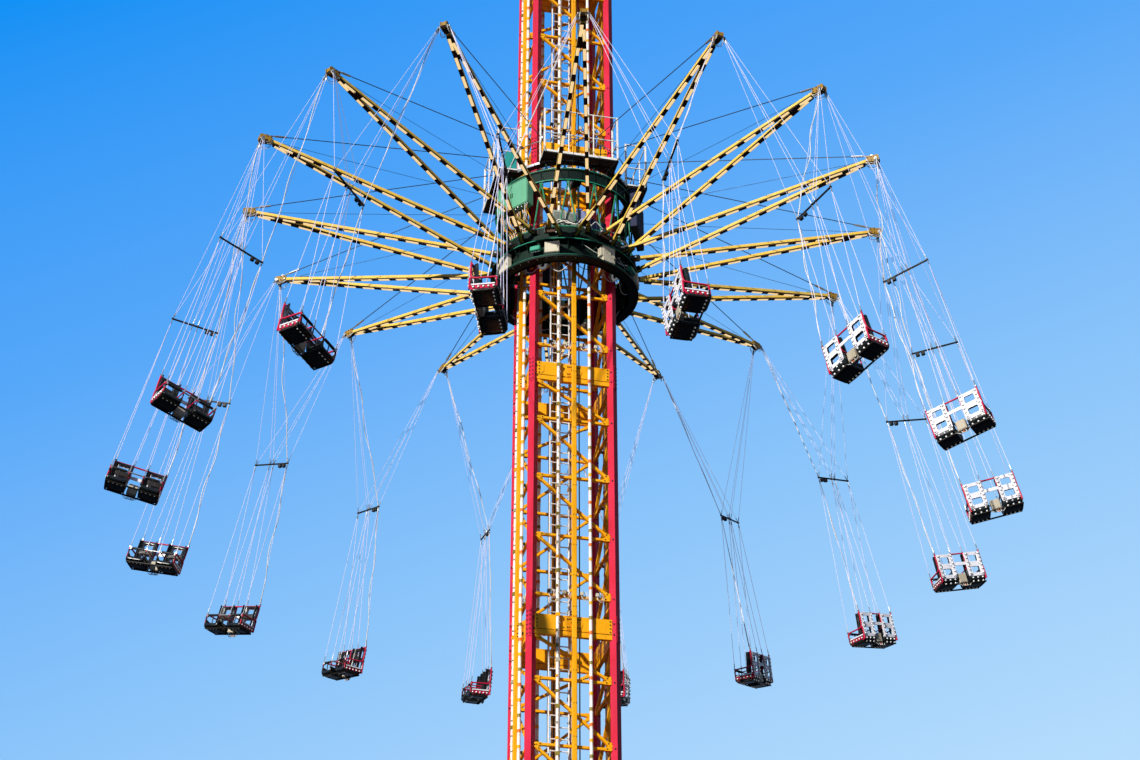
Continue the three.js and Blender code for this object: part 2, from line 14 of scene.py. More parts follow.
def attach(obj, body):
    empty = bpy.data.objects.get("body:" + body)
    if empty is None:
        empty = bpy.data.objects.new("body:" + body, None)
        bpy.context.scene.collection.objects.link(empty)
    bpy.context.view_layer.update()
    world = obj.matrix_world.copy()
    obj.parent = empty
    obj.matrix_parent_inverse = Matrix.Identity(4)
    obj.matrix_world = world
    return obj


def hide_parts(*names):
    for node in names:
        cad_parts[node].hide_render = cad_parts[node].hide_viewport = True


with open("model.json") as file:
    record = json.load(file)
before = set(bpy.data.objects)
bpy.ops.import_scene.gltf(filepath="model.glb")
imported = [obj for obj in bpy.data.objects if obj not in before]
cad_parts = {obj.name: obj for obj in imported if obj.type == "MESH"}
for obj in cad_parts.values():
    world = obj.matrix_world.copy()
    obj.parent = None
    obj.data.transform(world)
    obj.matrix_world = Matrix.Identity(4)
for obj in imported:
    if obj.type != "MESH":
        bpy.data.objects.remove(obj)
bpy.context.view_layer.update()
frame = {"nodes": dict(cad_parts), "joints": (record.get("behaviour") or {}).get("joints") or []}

GAP = 0.0003  # between parts that only touch

# Mast, from the axis outwards and from the ground up
BASE_HEIGHT = 0.4
FIRST_BAY = 2.2
BAY = 6.0
BAYS = 6
MAST_TOP = FIRST_BAY + BAY * BAYS
SPLICES = [FIRST_BAY + splice * BAY for splice in range(BAYS + 1)]
CHORD_AT = 0.875
CHORD = 0.22
CHORD_OUT = CHORD_AT + CHORD / 2
BAND = 0.45
BAR = 0.07
LATTICE_DEPTH = 0.09
LATTICE_FRONT = CHORD_AT + LATTICE_DEPTH / 2
BAND_HALF = 0.81  # each band and bar ends inside the chords' edges
BAR_HALF = 0.79
RUNGS_BELOW_SPLICE = (1.39, 2.79, 4.18, 5.55)
POST_WIDTH = 0.095
POST_FACE = 1.045
TUBE_AT = 0.345
TUBE_RADIUS = 0.036
TUBE_OUT = 0.99
CLAMP_STEP = 0.33  # between the clamps on a tube
RAIL_FOOT = 1.77
LADDER_X = -0.235
LADDER_Y = -0.6
LADDER_HALF = 0.21
RUNG_STEP = 0.25
SHEAVE_AT = 0.27
SHEAVE_RADIUS = 0.28
SHEAVE_HEIGHT = MAST_TOP + 0.64
SPOKES = 6
ROPE_RADIUS = 0.014
BEAM_REACH = 1.9  # of the base's beams, from the mast's axis

# Carriage and star, measured from the plane of the arm feet
RING = next(joint["pos_m"][2] for joint in frame["joints"] if joint["name"] == "spin")
SLEEVE_IN = 1.43
SLEEVE_OUT = 1.49
DRUM_LOW = -0.65
DRUM_TOP = 0.2
TOP_RING_LOW = 1.6
TOP_RING_TOP = 1.75
ARMS = 16
ARM_STEP = 2 * math.pi / ARMS
STAR_TURN = math.radians(13)
SHELL_IN = 1.51
SHELL_OUT = 1.546
FLANGE_OUT = 1.69
FLANGE_LOW = -0.185
SHELL_TOP = 0.26
CROWN_IN = 1.56
CROWN_LOW = 1.48
CROWN_TOP = 1.81
CROWN_LIP = 0.045
CROWN_OUT = 1.62
CABINET_LOW = 0.76
DECK_IN = 1.42
DECK_OUT = 1.56
DECK_LOW = 2.03
DECK_TOP = 2.1
DECK_HALF = 0.875
DECK_NEAR = -1.78
RAIL_TOP = DECK_TOP + 1.2
STAY_RING = 1.45
STAY_HEIGHT = 2.78
STAY_POSTS = 8
ARM_REACH = 7.4
TIP_RISE = 1.46
ARM_TUBE = 0.078
ARM_END = ARM_REACH - 0.06  # where the two tubes meet
FOOT_SPREAD = math.radians(16.875)
FOOT_LIFT = 0.15
FOOT_RADIUS = 1.575
LAMP_STEP = 0.49
LAMP_LONG = 0.3
PIVOT_DROP = 0.06  # from the tip's middle to the chairs' pins

# Chairs, measured from their pins while they hang straight: X outwards, Y the way of flight
SWING = math.radians(12.5)
PIVOT_RADIUS = ARM_REACH * math.cos(ARM_STEP / 2)
TIP_APART = ARM_REACH * math.sin(ARM_STEP / 2)
PIN_OUT = TIP_APART - 0.0747
PIN_IN = PIN_OUT - 0.06
SPREADER = -4.22
SPREADER_HALF = 0.5
PAN = -8.35
SIDE_AT = 0.545
ARM_TOP = PAN + 0.24
BACK_TOP = PAN + 0.64
FRONT_AT = 0.195
REAR_AT = -0.285
SEAT_AT = 0.345  # from the chair's middle to the middle of each seat
SEAT_WIDE = 0.4
INNER_AT = 0.152  # where each seat's inner tube stands
BULB = 0.02
FEED_SWAY = 0.045  # the thick feed cable follows the others loosely

UP = Vector((0, 0, 1))
BACKWARDS = Vector((0, 1, 0))
SHARP = math.radians(32)  # edges sharper than this stay crisp
QUARTER = math.pi / 2
FULL = 2 * math.pi
STAND = Matrix.Rotation(QUARTER, 4, "X")  # turns a flat shape upright
LYING = Matrix.Rotation(QUARTER, 4, "Y")  # turns a standing rod to lie along X


def turn(angle):
    """A turn about the mast's axis."""
    return Matrix.Rotation(angle, 4, "Z")


def shift(x=0.0, y=0.0, z=0.0):
    """A move without a turn."""
    return Matrix.Translation((x, y, z))


def around(radius, angle, height=0.0):
    """A point on a circle round the mast's axis."""
    return Vector((radius * math.cos(angle), radius * math.sin(angle), height))


def along(start, end, near_up=UP):
    """Puts a shape's foot at start, its local Z towards end and its local Y nearest to up."""
    start = Vector(start)
    axis = (Vector(end) - start).normalized()
    if abs(axis.dot(near_up)) > 0.999:
        near_up = BACKWARDS
    side = near_up.cross(axis).normalized()
    turned_to = Matrix((side, axis.cross(side), axis)).transposed().to_4x4()
    return Matrix.Translation(start) @ turned_to


# Shapes

def shaped(bm):
    """Closes a bmesh as a mesh, smooth except along its sharp edges."""
    bmesh.ops.recalc_face_normals(bm, faces=bm.faces)
    for face in bm.faces:
        face.smooth = True
    for edge in bm.edges:
        edge.smooth = len(edge.link_faces) == 2 and edge.calc_face_angle() < SHARP
    mesh = bpy.data.meshes.new("shape")
    bm.to_mesh(mesh)
    bm.free()
    return mesh


def chamfered(bm, edges, offset):
    """Takes the sharpness off edges with one flat each."""
    bmesh.ops.bevel(
        bm, geom=edges, offset=offset, segments=1, affect="EDGES", profile=0.5, material=-1
    )


@functools.cache
def box(wide, deep, high, bevel=0.0):
    """A box about its own centre, its edges taken off by bevel."""
    bm = bmesh.new()
    bmesh.ops.create_cube(bm, size=1, matrix=Matrix.Diagonal((wide, deep, high, 1)))
    if bevel:
        chamfered(bm, bm.edges[:], bevel)
    return shaped(bm)


@functools.cache
def rod(radius, length, sides=8):
    """A round rod that stands on its foot."""
    bm = bmesh.new()
    bmesh.ops.create_cone(
        bm,
        cap_ends=True,
        segments=sides,
        radius1=radius,
        radius2=radius,
        depth=length,
        matrix=shift(z=length / 2),
    )
    return shaped(bm)


@functools.cache
def ball(radius, sides, rows, squash=1.0):
    """A ball about its own centre, flattened along Z by squash."""
    bm = bmesh.new()
    size = Matrix.Diagonal((1, 1, squash, 1))
    bmesh.ops.create_uvsphere(bm, u_segments=sides, v_segments=rows, radius=radius, matrix=size)
    return shaped(bm)


@functools.cache
def turned(profile, sides, closed=True):
    """A profile of (radius, height) points spun about the Z axis."""
    bm = bmesh.new()
    points = [bm.verts.new((radius, 0, height)) for radius, height in profile]
    lines = [bm.edges.new(pair) for pair in zip(points, points[1:])]
    if closed:
        lines.append(bm.edges.new((points[-1], points[0])))
    bmesh.ops.spin(
        bm,
        geom=points + lines,
        axis=UP,
        cent=(0, 0, 0),
        angle=FULL,
        steps=sides,
        use_merge=True,
    )
    bmesh.ops.remove_doubles(bm, verts=bm.verts, dist=1e-6)
    return shaped(bm)


def ring(inner, outer, low, high, sides=96):
    """A ring about the Z axis, of square section."""
    return turned(((inner, low), (outer, low), (outer, high), (inner, high)), sides)


@functools.cache
def hoop(radius, thick):
    """A round bar bent to a full circle."""
    steps = [FULL * i / 6 for i in range(6)]
    profile = tuple((radius + thick * math.cos(step), thick * math.sin(step)) for step in steps)
    return turned(profile, 96)


@functools.cache
def plate(outline, thick, bevel=0.0):
    """A flat plate of the given (x, y) outline, its middle plane at z 0."""
    bm = bmesh.new()
    face = bm.faces.new([bm.verts.new((x, y, -thick / 2)) for x, y in outline])
    made = bmesh.ops.extrude_face_region(bm, geom=[face])["geom"]
    raised = [part for part in made if isinstance(part, bmesh.types.BMVert)]
    bmesh.ops.translate(bm, vec=(0, 0, thick), verts=raised)
    if bevel:
        rim = []
        for edge in bm.edges:
            start, end = edge.verts
            if abs(start.co.z - end.co.z) < thick / 2:
                rim.append(edge)
        chamfered(bm, rim, bevel)
    return shaped(bm)


def hose(points, radius, sides=1, steps=4):
    """A round hose or wire that follows its points loosely."""
    curve = bpy.data.curves.new("run", "CURVE")
    curve.dimensions = "3D"
    curve.bevel_depth = radius
    curve.bevel_resolution = sides
    curve.use_fill_caps = True
    curve.resolution_u = steps
    spline = curve.splines.new("NURBS")
    spline.points.add(len(points) - 1)
    for place, point in zip(spline.points, points):
        place.co = (*point, 1)
    spline.order_u = 3
    spline.use_endpoint_u = True
    holder = bpy.data.objects.new("run", curve)
    mesh = bpy.data.meshes.new_from_object(holder)
    bpy.data.objects.remove(holder)
    bpy.data.curves.remove(curve)
    return mesh


class Piece:
    """Shapes gathered into one mesh, each with its own finish."""

    def __init__(self):
        self.bm = bmesh.new()
        self.finishes = []

    def slot(self, finish):
        """The number of a finish among this piece's own."""
        if finish not in self.finishes:
            self.finishes.append(finish)
        return self.finishes.index(finish)

    def take(self, shape, place, slots):
        """Adds a shape at a place, with the number of each face's finish."""
        mesh = shape.copy()
        mesh.transform(place)
        mesh.polygons.foreach_set("material_index", slots)
        self.bm.from_mesh(mesh)
        bpy.data.meshes.remove(mesh)

    def put(self, shape, place, finish):
        """Adds a shape at a place, all in one finish."""
        self.take(shape, place, [self.slot(finish)] * len(shape.polygons))

    def block(self, low, high, finish, bevel=0.0, place=Matrix()):
        """Adds the box between two opposite corners."""
        size = [round(b - a, 6) for a, b in zip(low, high)]
        middle = [(a + b) / 2 for a, b in zip(low, high)]
        self.put(box(*size, bevel), place @ shift(*middle), finish)

    def beam(self, start, end, wide, deep, finish, bevel=0.0, near_up=UP):
        """Adds a rectangular bar between two points."""
        length = round((Vector(end) - Vector(start)).length, 6)
        place = along(start, end, near_up) @ shift(z=length / 2)
        self.put(box(wide, deep, length, bevel), place, finish)

    def bar(self, start, end, radius, finish, sides=8):
        """Adds a round bar between two points."""
        length = round((Vector(end) - Vector(start)).length, 6)
        self.put(rod(radius, length, sides), along(start, end), finish)

    def bolt(self, start, end, radius):
        """A hexagon head that stands from start towards end."""
        self.bar(start, end, radius, bolt_steel, 6)

    def add(self, other, place=Matrix()):
        """Puts another piece's finished mesh into this one, with its finishes."""
        slots = [self.slot(finish) for finish in other.materials]
        self.take(other, place, [slots[face.material_index] for face in other.polygons])

    def mesh(self, name):
        """Ends the piece: all that it has gathered as one mesh."""
        mesh = bpy.data.meshes.new(name)
        self.bm.to_mesh(mesh)
        self.bm.free()
        for finish in self.finishes:
            mesh.materials.append(finish)
        return mesh


def placed(mesh, name, place):
    """A copy of a mesh with its place in its vertices."""
    made = mesh.copy()
    made.name = name
    made.transform(place)
    return made


def show(mesh, body, replaces=()):
    """Puts a mesh in the scene as one of a body's pieces, and hides the solids it replaces."""
    made = bpy.data.objects.new(mesh.name, mesh)
    bpy.context.scene.collection.objects.link(made)
    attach(made, body)
    if replaces:
        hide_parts(*replaces)
    return made


# Finishes

def paint(code):
    """An sRGB hex value as linear colour."""
    parts = [int(code[i:i + 2], 16) / 255 for i in (1, 3, 5)]
    linear = [c / 12.92 if c <= 0.04045 else ((c + 0.055) / 1.055) ** 2.4 for c in parts]
    return (*linear, 1)


def add(tree, kind, settings=None, links=None):
    """Adds a node, sets its properties and sockets, and links its inputs."""
    made = tree.nodes.new("ShaderNode" + kind)
    for name, value in (settings or {}).items():
        if isinstance(name, str) and name.islower():
            setattr(made, name, value)
        else:
            made.inputs[name].default_value = value
    for name, source in (links or {}).items():
        tree.links.new(source, made.inputs[name])
    return made


# The Mix node's colour sockets
MIX_FACTOR = 0
MIX_A = 6
MIX_B = 7
MIX_RESULT = 2


def blank(name):
    """A material with only its output and shader."""
    material = bpy.data.materials.new(name)
    material.use_nodes = True
    tree = material.node_tree
    tree.nodes.clear()
    output = add(tree, "OutputMaterial")
    shader = add(tree, "BsdfPrincipled")
    tree.links.new(shader.outputs["BSDF"], output.inputs["Surface"])
    return material, tree, shader


def spots(tree, scale, low, high, detail=3.0, stretch=(1, 1, 1)):
    """Noise on the piece's own coordinates, cut to patches between two levels."""
    place = add(tree, "TexCoord").outputs["Object"]
    spread = add(tree, "Mapping", {"Scale": stretch}, {"Vector": place})
    noise = add(tree, "TexNoise", {"Scale": scale, "Detail": detail}, {"Vector": spread.outputs[0]})
    levels = {"From Min": low, "From Max": high}
    return add(tree, "MapRange", levels, {"Value": noise.outputs["Fac"]}).outputs["Result"]


def tinted(tree, base, other, share, amount):
    """Mixes a colour over another where share is high, by amount at most."""
    scaled = add(tree, "Math", {"operation": "MULTIPLY", 1: amount}, {0: share})
    mix = add(tree, "Mix", {"data_type": "RGBA", MIX_B: other}, {MIX_FACTOR: scaled.outputs[0]})
    if isinstance(base, tuple):
        mix.inputs[MIX_A].default_value = base
    else:
        tree.links.new(base, mix.inputs[MIX_A])
    return mix.outputs[MIX_RESULT]


def roughened(tree, shader, share, smooth, rough):
    """Lets the shine go from smooth to rough with share."""
    spread = add(tree, "MapRange", {"To Min": smooth, "To Max": rough}, {"Value": share})
    tree.links.new(spread.outputs["Result"], shader.inputs["Roughness"])


def bumped(tree, shader, height, distance, strength=1.0):
    """Raises the surface by distance where height is high."""
    bump = add(tree, "Bump", {"Distance": distance, "Strength": strength}, {"Height": height})
    tree.links.new(bump.outputs["Normal"], shader.inputs["Normal"])


PATCH = 1.1  # patches of sun fading about 0.9 m across
STREAK = (9, 9, 0.6)  # rain streaks about 0.1 m wide and 1.6 m long
PEEL = 140  # the ripple that a spray gun leaves, about 7 mm across
CHIP = 26  # chips about 40 mm apart
BARE = "#4A2A1C"  # rusted steel where enamel is chipped off


def enamel(name, colour, fading_and_sheen, grime, grime_share=0.3, chipped=0.5, gloss=0.4, shine=0.25):
    """Sprayed enamel on steel: an even gloss, faded in patches (on the hub the greener patches are
    a painted sheen), streaked by rain, with chips.
    """
    material, tree, shader = blank(name)
    patches = spots(tree, PATCH, 0.35, 0.7)
    streaks = spots(tree, 1.0, 0.52, 0.75, 5, STREAK)
    chips = spots(tree, CHIP, 0.67, 0.70, 5)
    # the patch colour is sun fading, except on the hub, where it is a painted sheen
    base = tinted(tree, paint(colour), paint(fading_and_sheen), patches, 0.55)
    base = tinted(tree, base, paint(grime), streaks, grime_share)
    base = tinted(tree, base, paint(BARE), chips, chipped)
    tree.links.new(base, shader.inputs["Base Color"])
    roughened(tree, shader, patches, gloss, gloss + 0.16)
    bumped(tree, shader, spots(tree, PEEL, 0.3, 0.7), 0.0006, 0.5)
    shader.inputs["IOR"].default_value = 1.5
    shader.inputs["Specular IOR Level"].default_value = shine
    return material


def metal(name, colour, dull, smooth, rough, scale=34, bump=0.0004):
    """Bare or zinc-coated metal: a crystal pattern in its colour and its shine."""
    material, tree, shader = blank(name)
    place = add(tree, "TexCoord").outputs["Object"]
    crystal = add(tree, "TexVoronoi", {"Scale": scale}, {"Vector": place})
    cells = add(tree, "SeparateColor", None, {"Color": crystal.outputs["Color"]}).outputs[0]
    weather = spots(tree, 2.2, 0.35, 0.75, 4)
    base = tinted(tree, paint(colour), paint(dull), cells, 0.6)
    base = tinted(tree, base, paint(dull), weather, 0.6)
    tree.links.new(base, shader.inputs["Base Color"])
    roughened(tree, shader, cells, smooth, rough)
    bumped(tree, shader, cells, bump, 0.4)
    shader.inputs["Metallic"].default_value = 0.85
    return material


def cable(name, colour, dull, lay, metallic, gloss):
    """Wire rope or sheathed wire: strands that cross the cable at a slant, lay metres apart."""
    material, tree, shader = blank(name)
    place = add(tree, "TexCoord").outputs["Object"]
    twist = {
        "wave_type": "BANDS",
        "bands_direction": "DIAGONAL",
        "Scale": 0.314 / lay,
        "Distortion": 0.4,
    }
    strands = add(tree, "TexWave", twist, {"Vector": place}).outputs["Fac"]
    base = tinted(tree, paint(colour), paint(dull), strands, 0.7)
    base = tinted(tree, base, paint(dull), spots(tree, 1.7, 0.4, 0.8), 0.5)
    tree.links.new(base, shader.inputs["Base Color"])
    roughened(tree, shader, strands, gloss, gloss + 0.15)
    bumped(tree, shader, strands, 0.002, 0.6)
    shader.inputs["Metallic"].default_value = metallic
    return material


def moulded(name, colour, other, gloss, grain, depth, glow=0.0):
    """Moulded plastic or rubber: a fine grain, with small changes of shade and dust."""
    material, tree, shader = blank(name)
    dust = spots(tree, 6, 0.4, 0.75, 4)
    base = tinted(tree, paint(colour), paint(other), dust, 0.5)
    tree.links.new(base, shader.inputs["Base Color"])
    roughened(tree, shader, dust, gloss, gloss + 0.2)
    bumped(tree, shader, spots(tree, grain, 0.3, 0.7), depth, 0.5)
    shader.inputs["IOR"].default_value = 1.46
    # the glow is emission painted into the surface: painted light on the lamp covers and cables,
    # the lamps' own light only on the bulb caps
    if glow:
        shader.inputs["Emission Color"].default_value = paint(colour)
        shader.inputs["Emission Strength"].default_value = glow
    return material


def banded_tube(name):
    """White gloss tube with ochre clamp marks, a third of a metre apart, and rust below each."""
    material, tree, shader = blank(name)
    place = add(tree, "TexCoord").outputs["Object"]
    height = add(tree, "SeparateXYZ", None, {"Vector": place}).outputs["Z"]
    step = add(tree, "Math", {"operation": "DIVIDE", 1: CLAMP_STEP}, {0: height})
    part = add(tree, "Math", {"operation": "FRACT"}, {0: step.outputs[0]})
    stain = add(tree, "MapRange", {"From Min": 0.62, "From Max": 1.0}, {"Value": part.outputs[0]})
    grain = spots(tree, 30, 0.4, 0.6)
    ragged = add(
        tree, "Math", {"operation": "MULTIPLY"}, {0: stain.outputs["Result"], 1: grain}
    )
    base = tinted(tree, paint("#F6F1EA"), paint("#C98A4E"), ragged.outputs[0], 0.7)
    base = tinted(tree, base, paint("#D8CFC6"), spots(tree, 1.0, 0.5, 0.8, 4, STREAK), 0.5)
    tree.links.new(base, shader.inputs["Base Color"])
    roughened(tree, shader, ragged.outputs[0], 0.3, 0.6)
    bumped(tree, shader, spots(tree, PEEL, 0.3, 0.7), 0.0005, 0.4)
    return material


# The mast's chords: two-coat crimson enamel, glossy, gone pink where the sun has faded it
crimson = enamel("crimson_enamel", "#C80430", "#D81E4C", "#7A0C2C", 0.3)
# The lattice and guide posts: golden yellow enamel with brown rain marks
golden = enamel("golden_enamel", "#F6A800", "#FFBE22", "#A85E12", 0.35)
# The arms: a lighter yellow enamel over box tube
arm_yellow = enamel("arm_enamel", "#EFC448", "#F5D878", "#9A6420", 0.35, 0.5, 0.5, 0.25)
# The arms' tips: brown-yellow enamel, worn by the pins
tip_enamel = enamel("umber_enamel", "#9A7426", "#B8923E", "#3C2A10", 0.5, 0.5)
# Lamp rails, foot bars and the deck's grating: dark brown enamel
umber = enamel("dark_brown_enamel", "#3E2412", "#553420", "#160B05", 0.4, 0.3, 0.45)
# Hub drums and base: green-black enamel, oily, with greener patches in its colour that are a
# painted sheen
hub_green = enamel("hub_enamel", "#081A15", "#0E3328", "#050B0A", 0.5, 0.2, 0.55, 0.18)
# Rims of the hub: sea-green, lighter than the drums as a painted highlight along their edges (and
# the real paint of the small control boxes), and a lighter coat on the struts between the drums
sea_green_and_rim_highlight = enamel("sea_green_enamel_and_rim_highlight", "#1F8A6C", "#3FB090", "#0E3A30", 0.3, 0.3)
strut_green = enamel("light_sea_green_enamel", "#1F7A58", "#2F9870", "#12382C", 0.25, 0.3)
# The sheet on the guard rail: teal enamel
teal_sheet = enamel("teal_enamel", "#1F8E8A", "#46AFA8", "#0E4442", 0.25, 0.3)
# Powder coats, chalky and softer in shine than enamel: the hung cabinet is mint green,
mint = enamel("mint_powder_coat", "#5FA582", "#78B896", "#3F7558", 0.2, 0.15, 0.5)
# the control boxes are cream,
cream_coat = enamel("cream_powder_coat", "#C9C1A8", "#DAD3BE", "#8C8468", 0.3, 0.2, 0.5)
# the louvred cabinets are a greener grey, with a blue-grey box beside them,
louvre_grey = enamel("louvre_powder_coat", "#9AA29A", "#AEB5AC", "#666C62", 0.3, 0.2, 0.5)
grey_coat = enamel("grey_powder_coat", "#8088B4", "#99A0C6", "#565C80", 0.2, 0.15, 0.5)
# the ribbed cabinets are navy, darkened nearly to black: their own paint with painted shade in it,
navy_coat_and_painted_shade = enamel("navy_powder_coat_and_painted_shade", "#10183A", "#1C2850", "#080C1E", 0.2, 0.15, 0.5, 0.25)
# and the box between a chair's seats is a warm grey
box_grey = enamel("warm_grey_powder_coat", "#B4A994", "#C9C0AE", "#6E6452", 0.3, 0.2, 0.5)
# Guard rails, deck edges and ladder: white enamel, chalked by the weather
rail_white = enamel("white_enamel", "#E8E7E2", "#F6F5F2", "#A39C8C", 0.25, 0.25, 0.4)
# Guide shoes, lugs and some tube clamps: orange enamel; the other clamps are weathered olive
orange_coat = enamel("orange_enamel", "#E8701C", "#F08C3C", "#7A3A10", 0.3)
olive_coat = enamel("olive_enamel", "#8E7A2A", "#A8944A", "#3A300E", 0.4, 0.5)
# The chairs' frames: deep red enamel on bent tube
chair_red = enamel("chair_enamel", "#C20F3A", "#DB2C58", "#5E0A1E", 0.25, 0.4)
# Dark steel: housings, brackets and fixings in black enamel
black_steel = enamel("black_enamel", "#17140F", "#2A241C", "#0A0806", 0.3, 0.3, 0.4)
# Hot-dip zinc: spangles 20 to 30 mm across, dulled by weather
zinc = metal("hot_dip_zinc", "#C9CCD0", "#8F949A", 0.32, 0.55)
# Bolts and pins: blued steel, oily
bolt_steel = metal("oiled_steel", "#3A3A40", "#1E1D20", 0.3, 0.5, 120)
# Stays: galvanised wire rope, its strands drawn as a fine broken grain
stay_rope = metal("galvanised_wire_rope", "#5E6C82", "#3A4558", 0.35, 0.5, 60)
# Hoist ropes: dark greased wire rope with a lay of 60 mm
dark_rope = cable("greased_wire_rope", "#3C4658", "#151B28", 0.06, 0.5, 0.4)
# Chair cables: white steel wire in a smooth clear sheath; the pale lavender tint is painted sky
# shade and the faint glow is painted light, so that they never go dark against the sky
white_cable = moulded("sheathed_wire_rope", "#D0CFEA", "#B4B4D6", 0.5, 240, 0.0001, 0.22)
# Lamp covers: warm opal polycarbonate, whose glow is painted light standing in for the daylight
# scattered in it
lamp_cover = moulded("opal_polycarbonate", "#FFDCA0", "#F2CC90", 0.4, 120, 0.0001, 0.9)
# Bulb caps on the chairs: white opal acrylic
bulb_cap = moulded("opal_acrylic", "#FBFAF6", "#E6E2D8", 0.18, 300, 0.0001, 0.12)
# Wire and hose sheaths: soft white and black rubber
white_hose = moulded("white_rubber", "#E9E6DE", "#BDB7A8", 0.45, 240, 0.0004)
black_rubber = moulded("black_rubber", "#141416", "#2B2A2C", 0.5, 240, 0.0005)
# Seat buckets: black gelcoat on glass fibre, glossy but scuffed; their back panels are white
black_gelcoat = moulded("black_gelcoat", "#14181A", "#28302F", 0.22, 60, 0.0004)
white_gelcoat = moulded("white_gelcoat", "#F2F0F6", "#D9D8E4", 0.22, 60, 0.0003)
# Pads: black vinyl with a leather grain about 2 mm across, drawn at 4 mm so that it shows
pad_vinyl = moulded("grained_vinyl", "#26221F", "#3D342E", 0.42, 250, 0.0009)
# Tubes on the mast's faces: white gloss enamel
rail_tube = banded_tube("white_gloss_tube")


# Camera and light

PICTURE = 1140  # pixels across
AXIS_X = 562.1  # where the mast's axis crosses the picture
CAMERA_TURN = math.radians(12.5)  # the camera stands this far to the left of the mast's front
CAMERA_AWAY = 39.74
CAMERA_HEIGHT = 2.54
CAMERA_PITCH = math.radians(30.93)
LENS = 65.7
SENSOR = 36.0


def camera():
    """The photograph's camera: low, far off, and tilted up the mast."""
    data = bpy.data.cameras.new("camera")
    data.lens = LENS
    data.sensor_width = SENSOR
    data.clip_end = 500
    made = bpy.data.objects.new("camera", data)
    bpy.context.scene.collection.objects.link(made)
    made.location = (
        -CAMERA_AWAY * math.sin(CAMERA_TURN),
        -CAMERA_AWAY * math.cos(CAMERA_TURN),
        CAMERA_HEIGHT,
    )
    aside = math.atan((PICTURE / 2 - AXIS_X) / (PICTURE * LENS / SENSOR) * math.cos(CAMERA_PITCH))
    made.rotation_euler = (QUARTER + CAMERA_PITCH, 0, -CAMERA_TURN - aside)
    bpy.context.scene.camera = made


SUN_ASIDE = math.radians(46)  # left of the mast's front
SUN_UP = math.radians(20)
SUN_STRENGTH = 4.7
SUN_SIZE = math.radians(0.8)
SUN_COLOUR = (1.0, 0.96, 0.9)
FILL_COLOUR = "#A8C4EC"
FILL_BELOW = 0.05  # the fill light from below is weak, so that undersides stay dark
FILL_ABOVE = 0.4
FILL_BLEND = 0.3  # how far from the horizon one passes into the other
BACKDROP_SLOPE = (0.82, 0.757, -1.527)  # from the blue overhead to the pale lower right
BACKDROP = ((0.02, "#0A90F5"), (0.35, "#57A8F9"), (0.65, "#8CC5FA"), (0.98, "#B6DDFD"))


def light():
    """The low sun from the left of the mast's front."""
    data = bpy.data.lights.new("key", "SUN")
    data.energy = SUN_STRENGTH
    data.angle = SUN_SIZE
    data.color = SUN_COLOUR
    key = bpy.data.objects.new("key", data)
    bpy.context.scene.collection.objects.link(key)
    flat = math.cos(SUN_UP)
    towards = Vector((-math.sin(SUN_ASIDE) * flat, -math.cos(SUN_ASIDE) * flat, math.sin(SUN_UP)))
    key.rotation_euler = (-towards).to_track_quat("-Z", "Y").to_euler()
    bpy.context.scene.view_settings.view_transform = "Standard"


def backdrop():
    """The plain blue gradient that the camera sees, and a soft fill that only the ride sees."""
    world = bpy.data.worlds.new("studio")
    bpy.context.scene.world = world
    world.use_nodes = True
    tree = world.node_tree
    tree.nodes.clear()
    way = add(tree, "TexCoord").outputs["Generated"]
    slope = {"operation": "DOT_PRODUCT", 1: BACKDROP_SLOPE}
    across = add(tree, "VectorMath", slope, {0: way}).outputs["Value"]
    part = add(tree, "Math", {"operation": "ADD", 1: 0.5}, {0: across}).outputs[0]
    ramp = add(tree, "ValToRGB", None, {"Fac": part})
    stops = ramp.color_ramp.elements
    for place, code in BACKDROP[1:-1]:
        stops.new(place)
    for stop, (place, code) in zip(stops, BACKDROP):
        stop.position = place
        stop.color = paint(code)
    seen = add(tree, "Background", {"Strength": 1.0}, {"Color": ramp.outputs[0]})
    height = add(tree, "SeparateXYZ", None, {"Vector": way}).outputs["Z"]
    share = {
        "From Min": -FILL_BLEND,
        "From Max": FILL_BLEND,
        "To Min": FILL_BELOW,
        "To Max": FILL_ABOVE,
    }
    strength = add(tree, "MapRange", share, {"Value": height}).outputs["Result"]
    fill = add(tree, "Background", {"Color": paint(FILL_COLOUR)}, {"Strength": strength})
    straight = add(tree, "LightPath").outputs["Is Camera Ray"]
    mix = add(tree, "MixShader", None, {0: straight, 1: fill.outputs[0], 2: seen.outputs[0]})
    add(tree, "OutputWorld", None, {"Surface": mix.outputs[0]})


FLOOR_RADIUS = 400.0
FLOOR_DROP = 0.002  # below the base, so that the two faces stay apart


def floor():
    """A plain pale disc under the ride, as stage."""
    bm = bmesh.new()
    low = shift(z=-FLOOR_DROP)
    bmesh.ops.create_circle(bm, cap_ends=True, segments=96, radius=FLOOR_RADIUS, matrix=low)
    mesh = shaped(bm)
    material, tree, shader = blank("pale_floor")
    base = tinted(tree, paint("#F3F3F4"), paint("#EAEBED"), spots(tree, 0.1, 0.35, 0.7), 0.5)
    tree.links.new(base, shader.inputs["Base Color"])
    shader.inputs["Roughness"].default_value = 0.8
    mesh.materials.append(material)
    made = bpy.data.objects.new("floor", mesh)
    bpy.context.scene.collection.objects.link(made)
    made.visible_diffuse = False  # it throws no light up at the undersides
    made.visible_glossy = False


# Mast

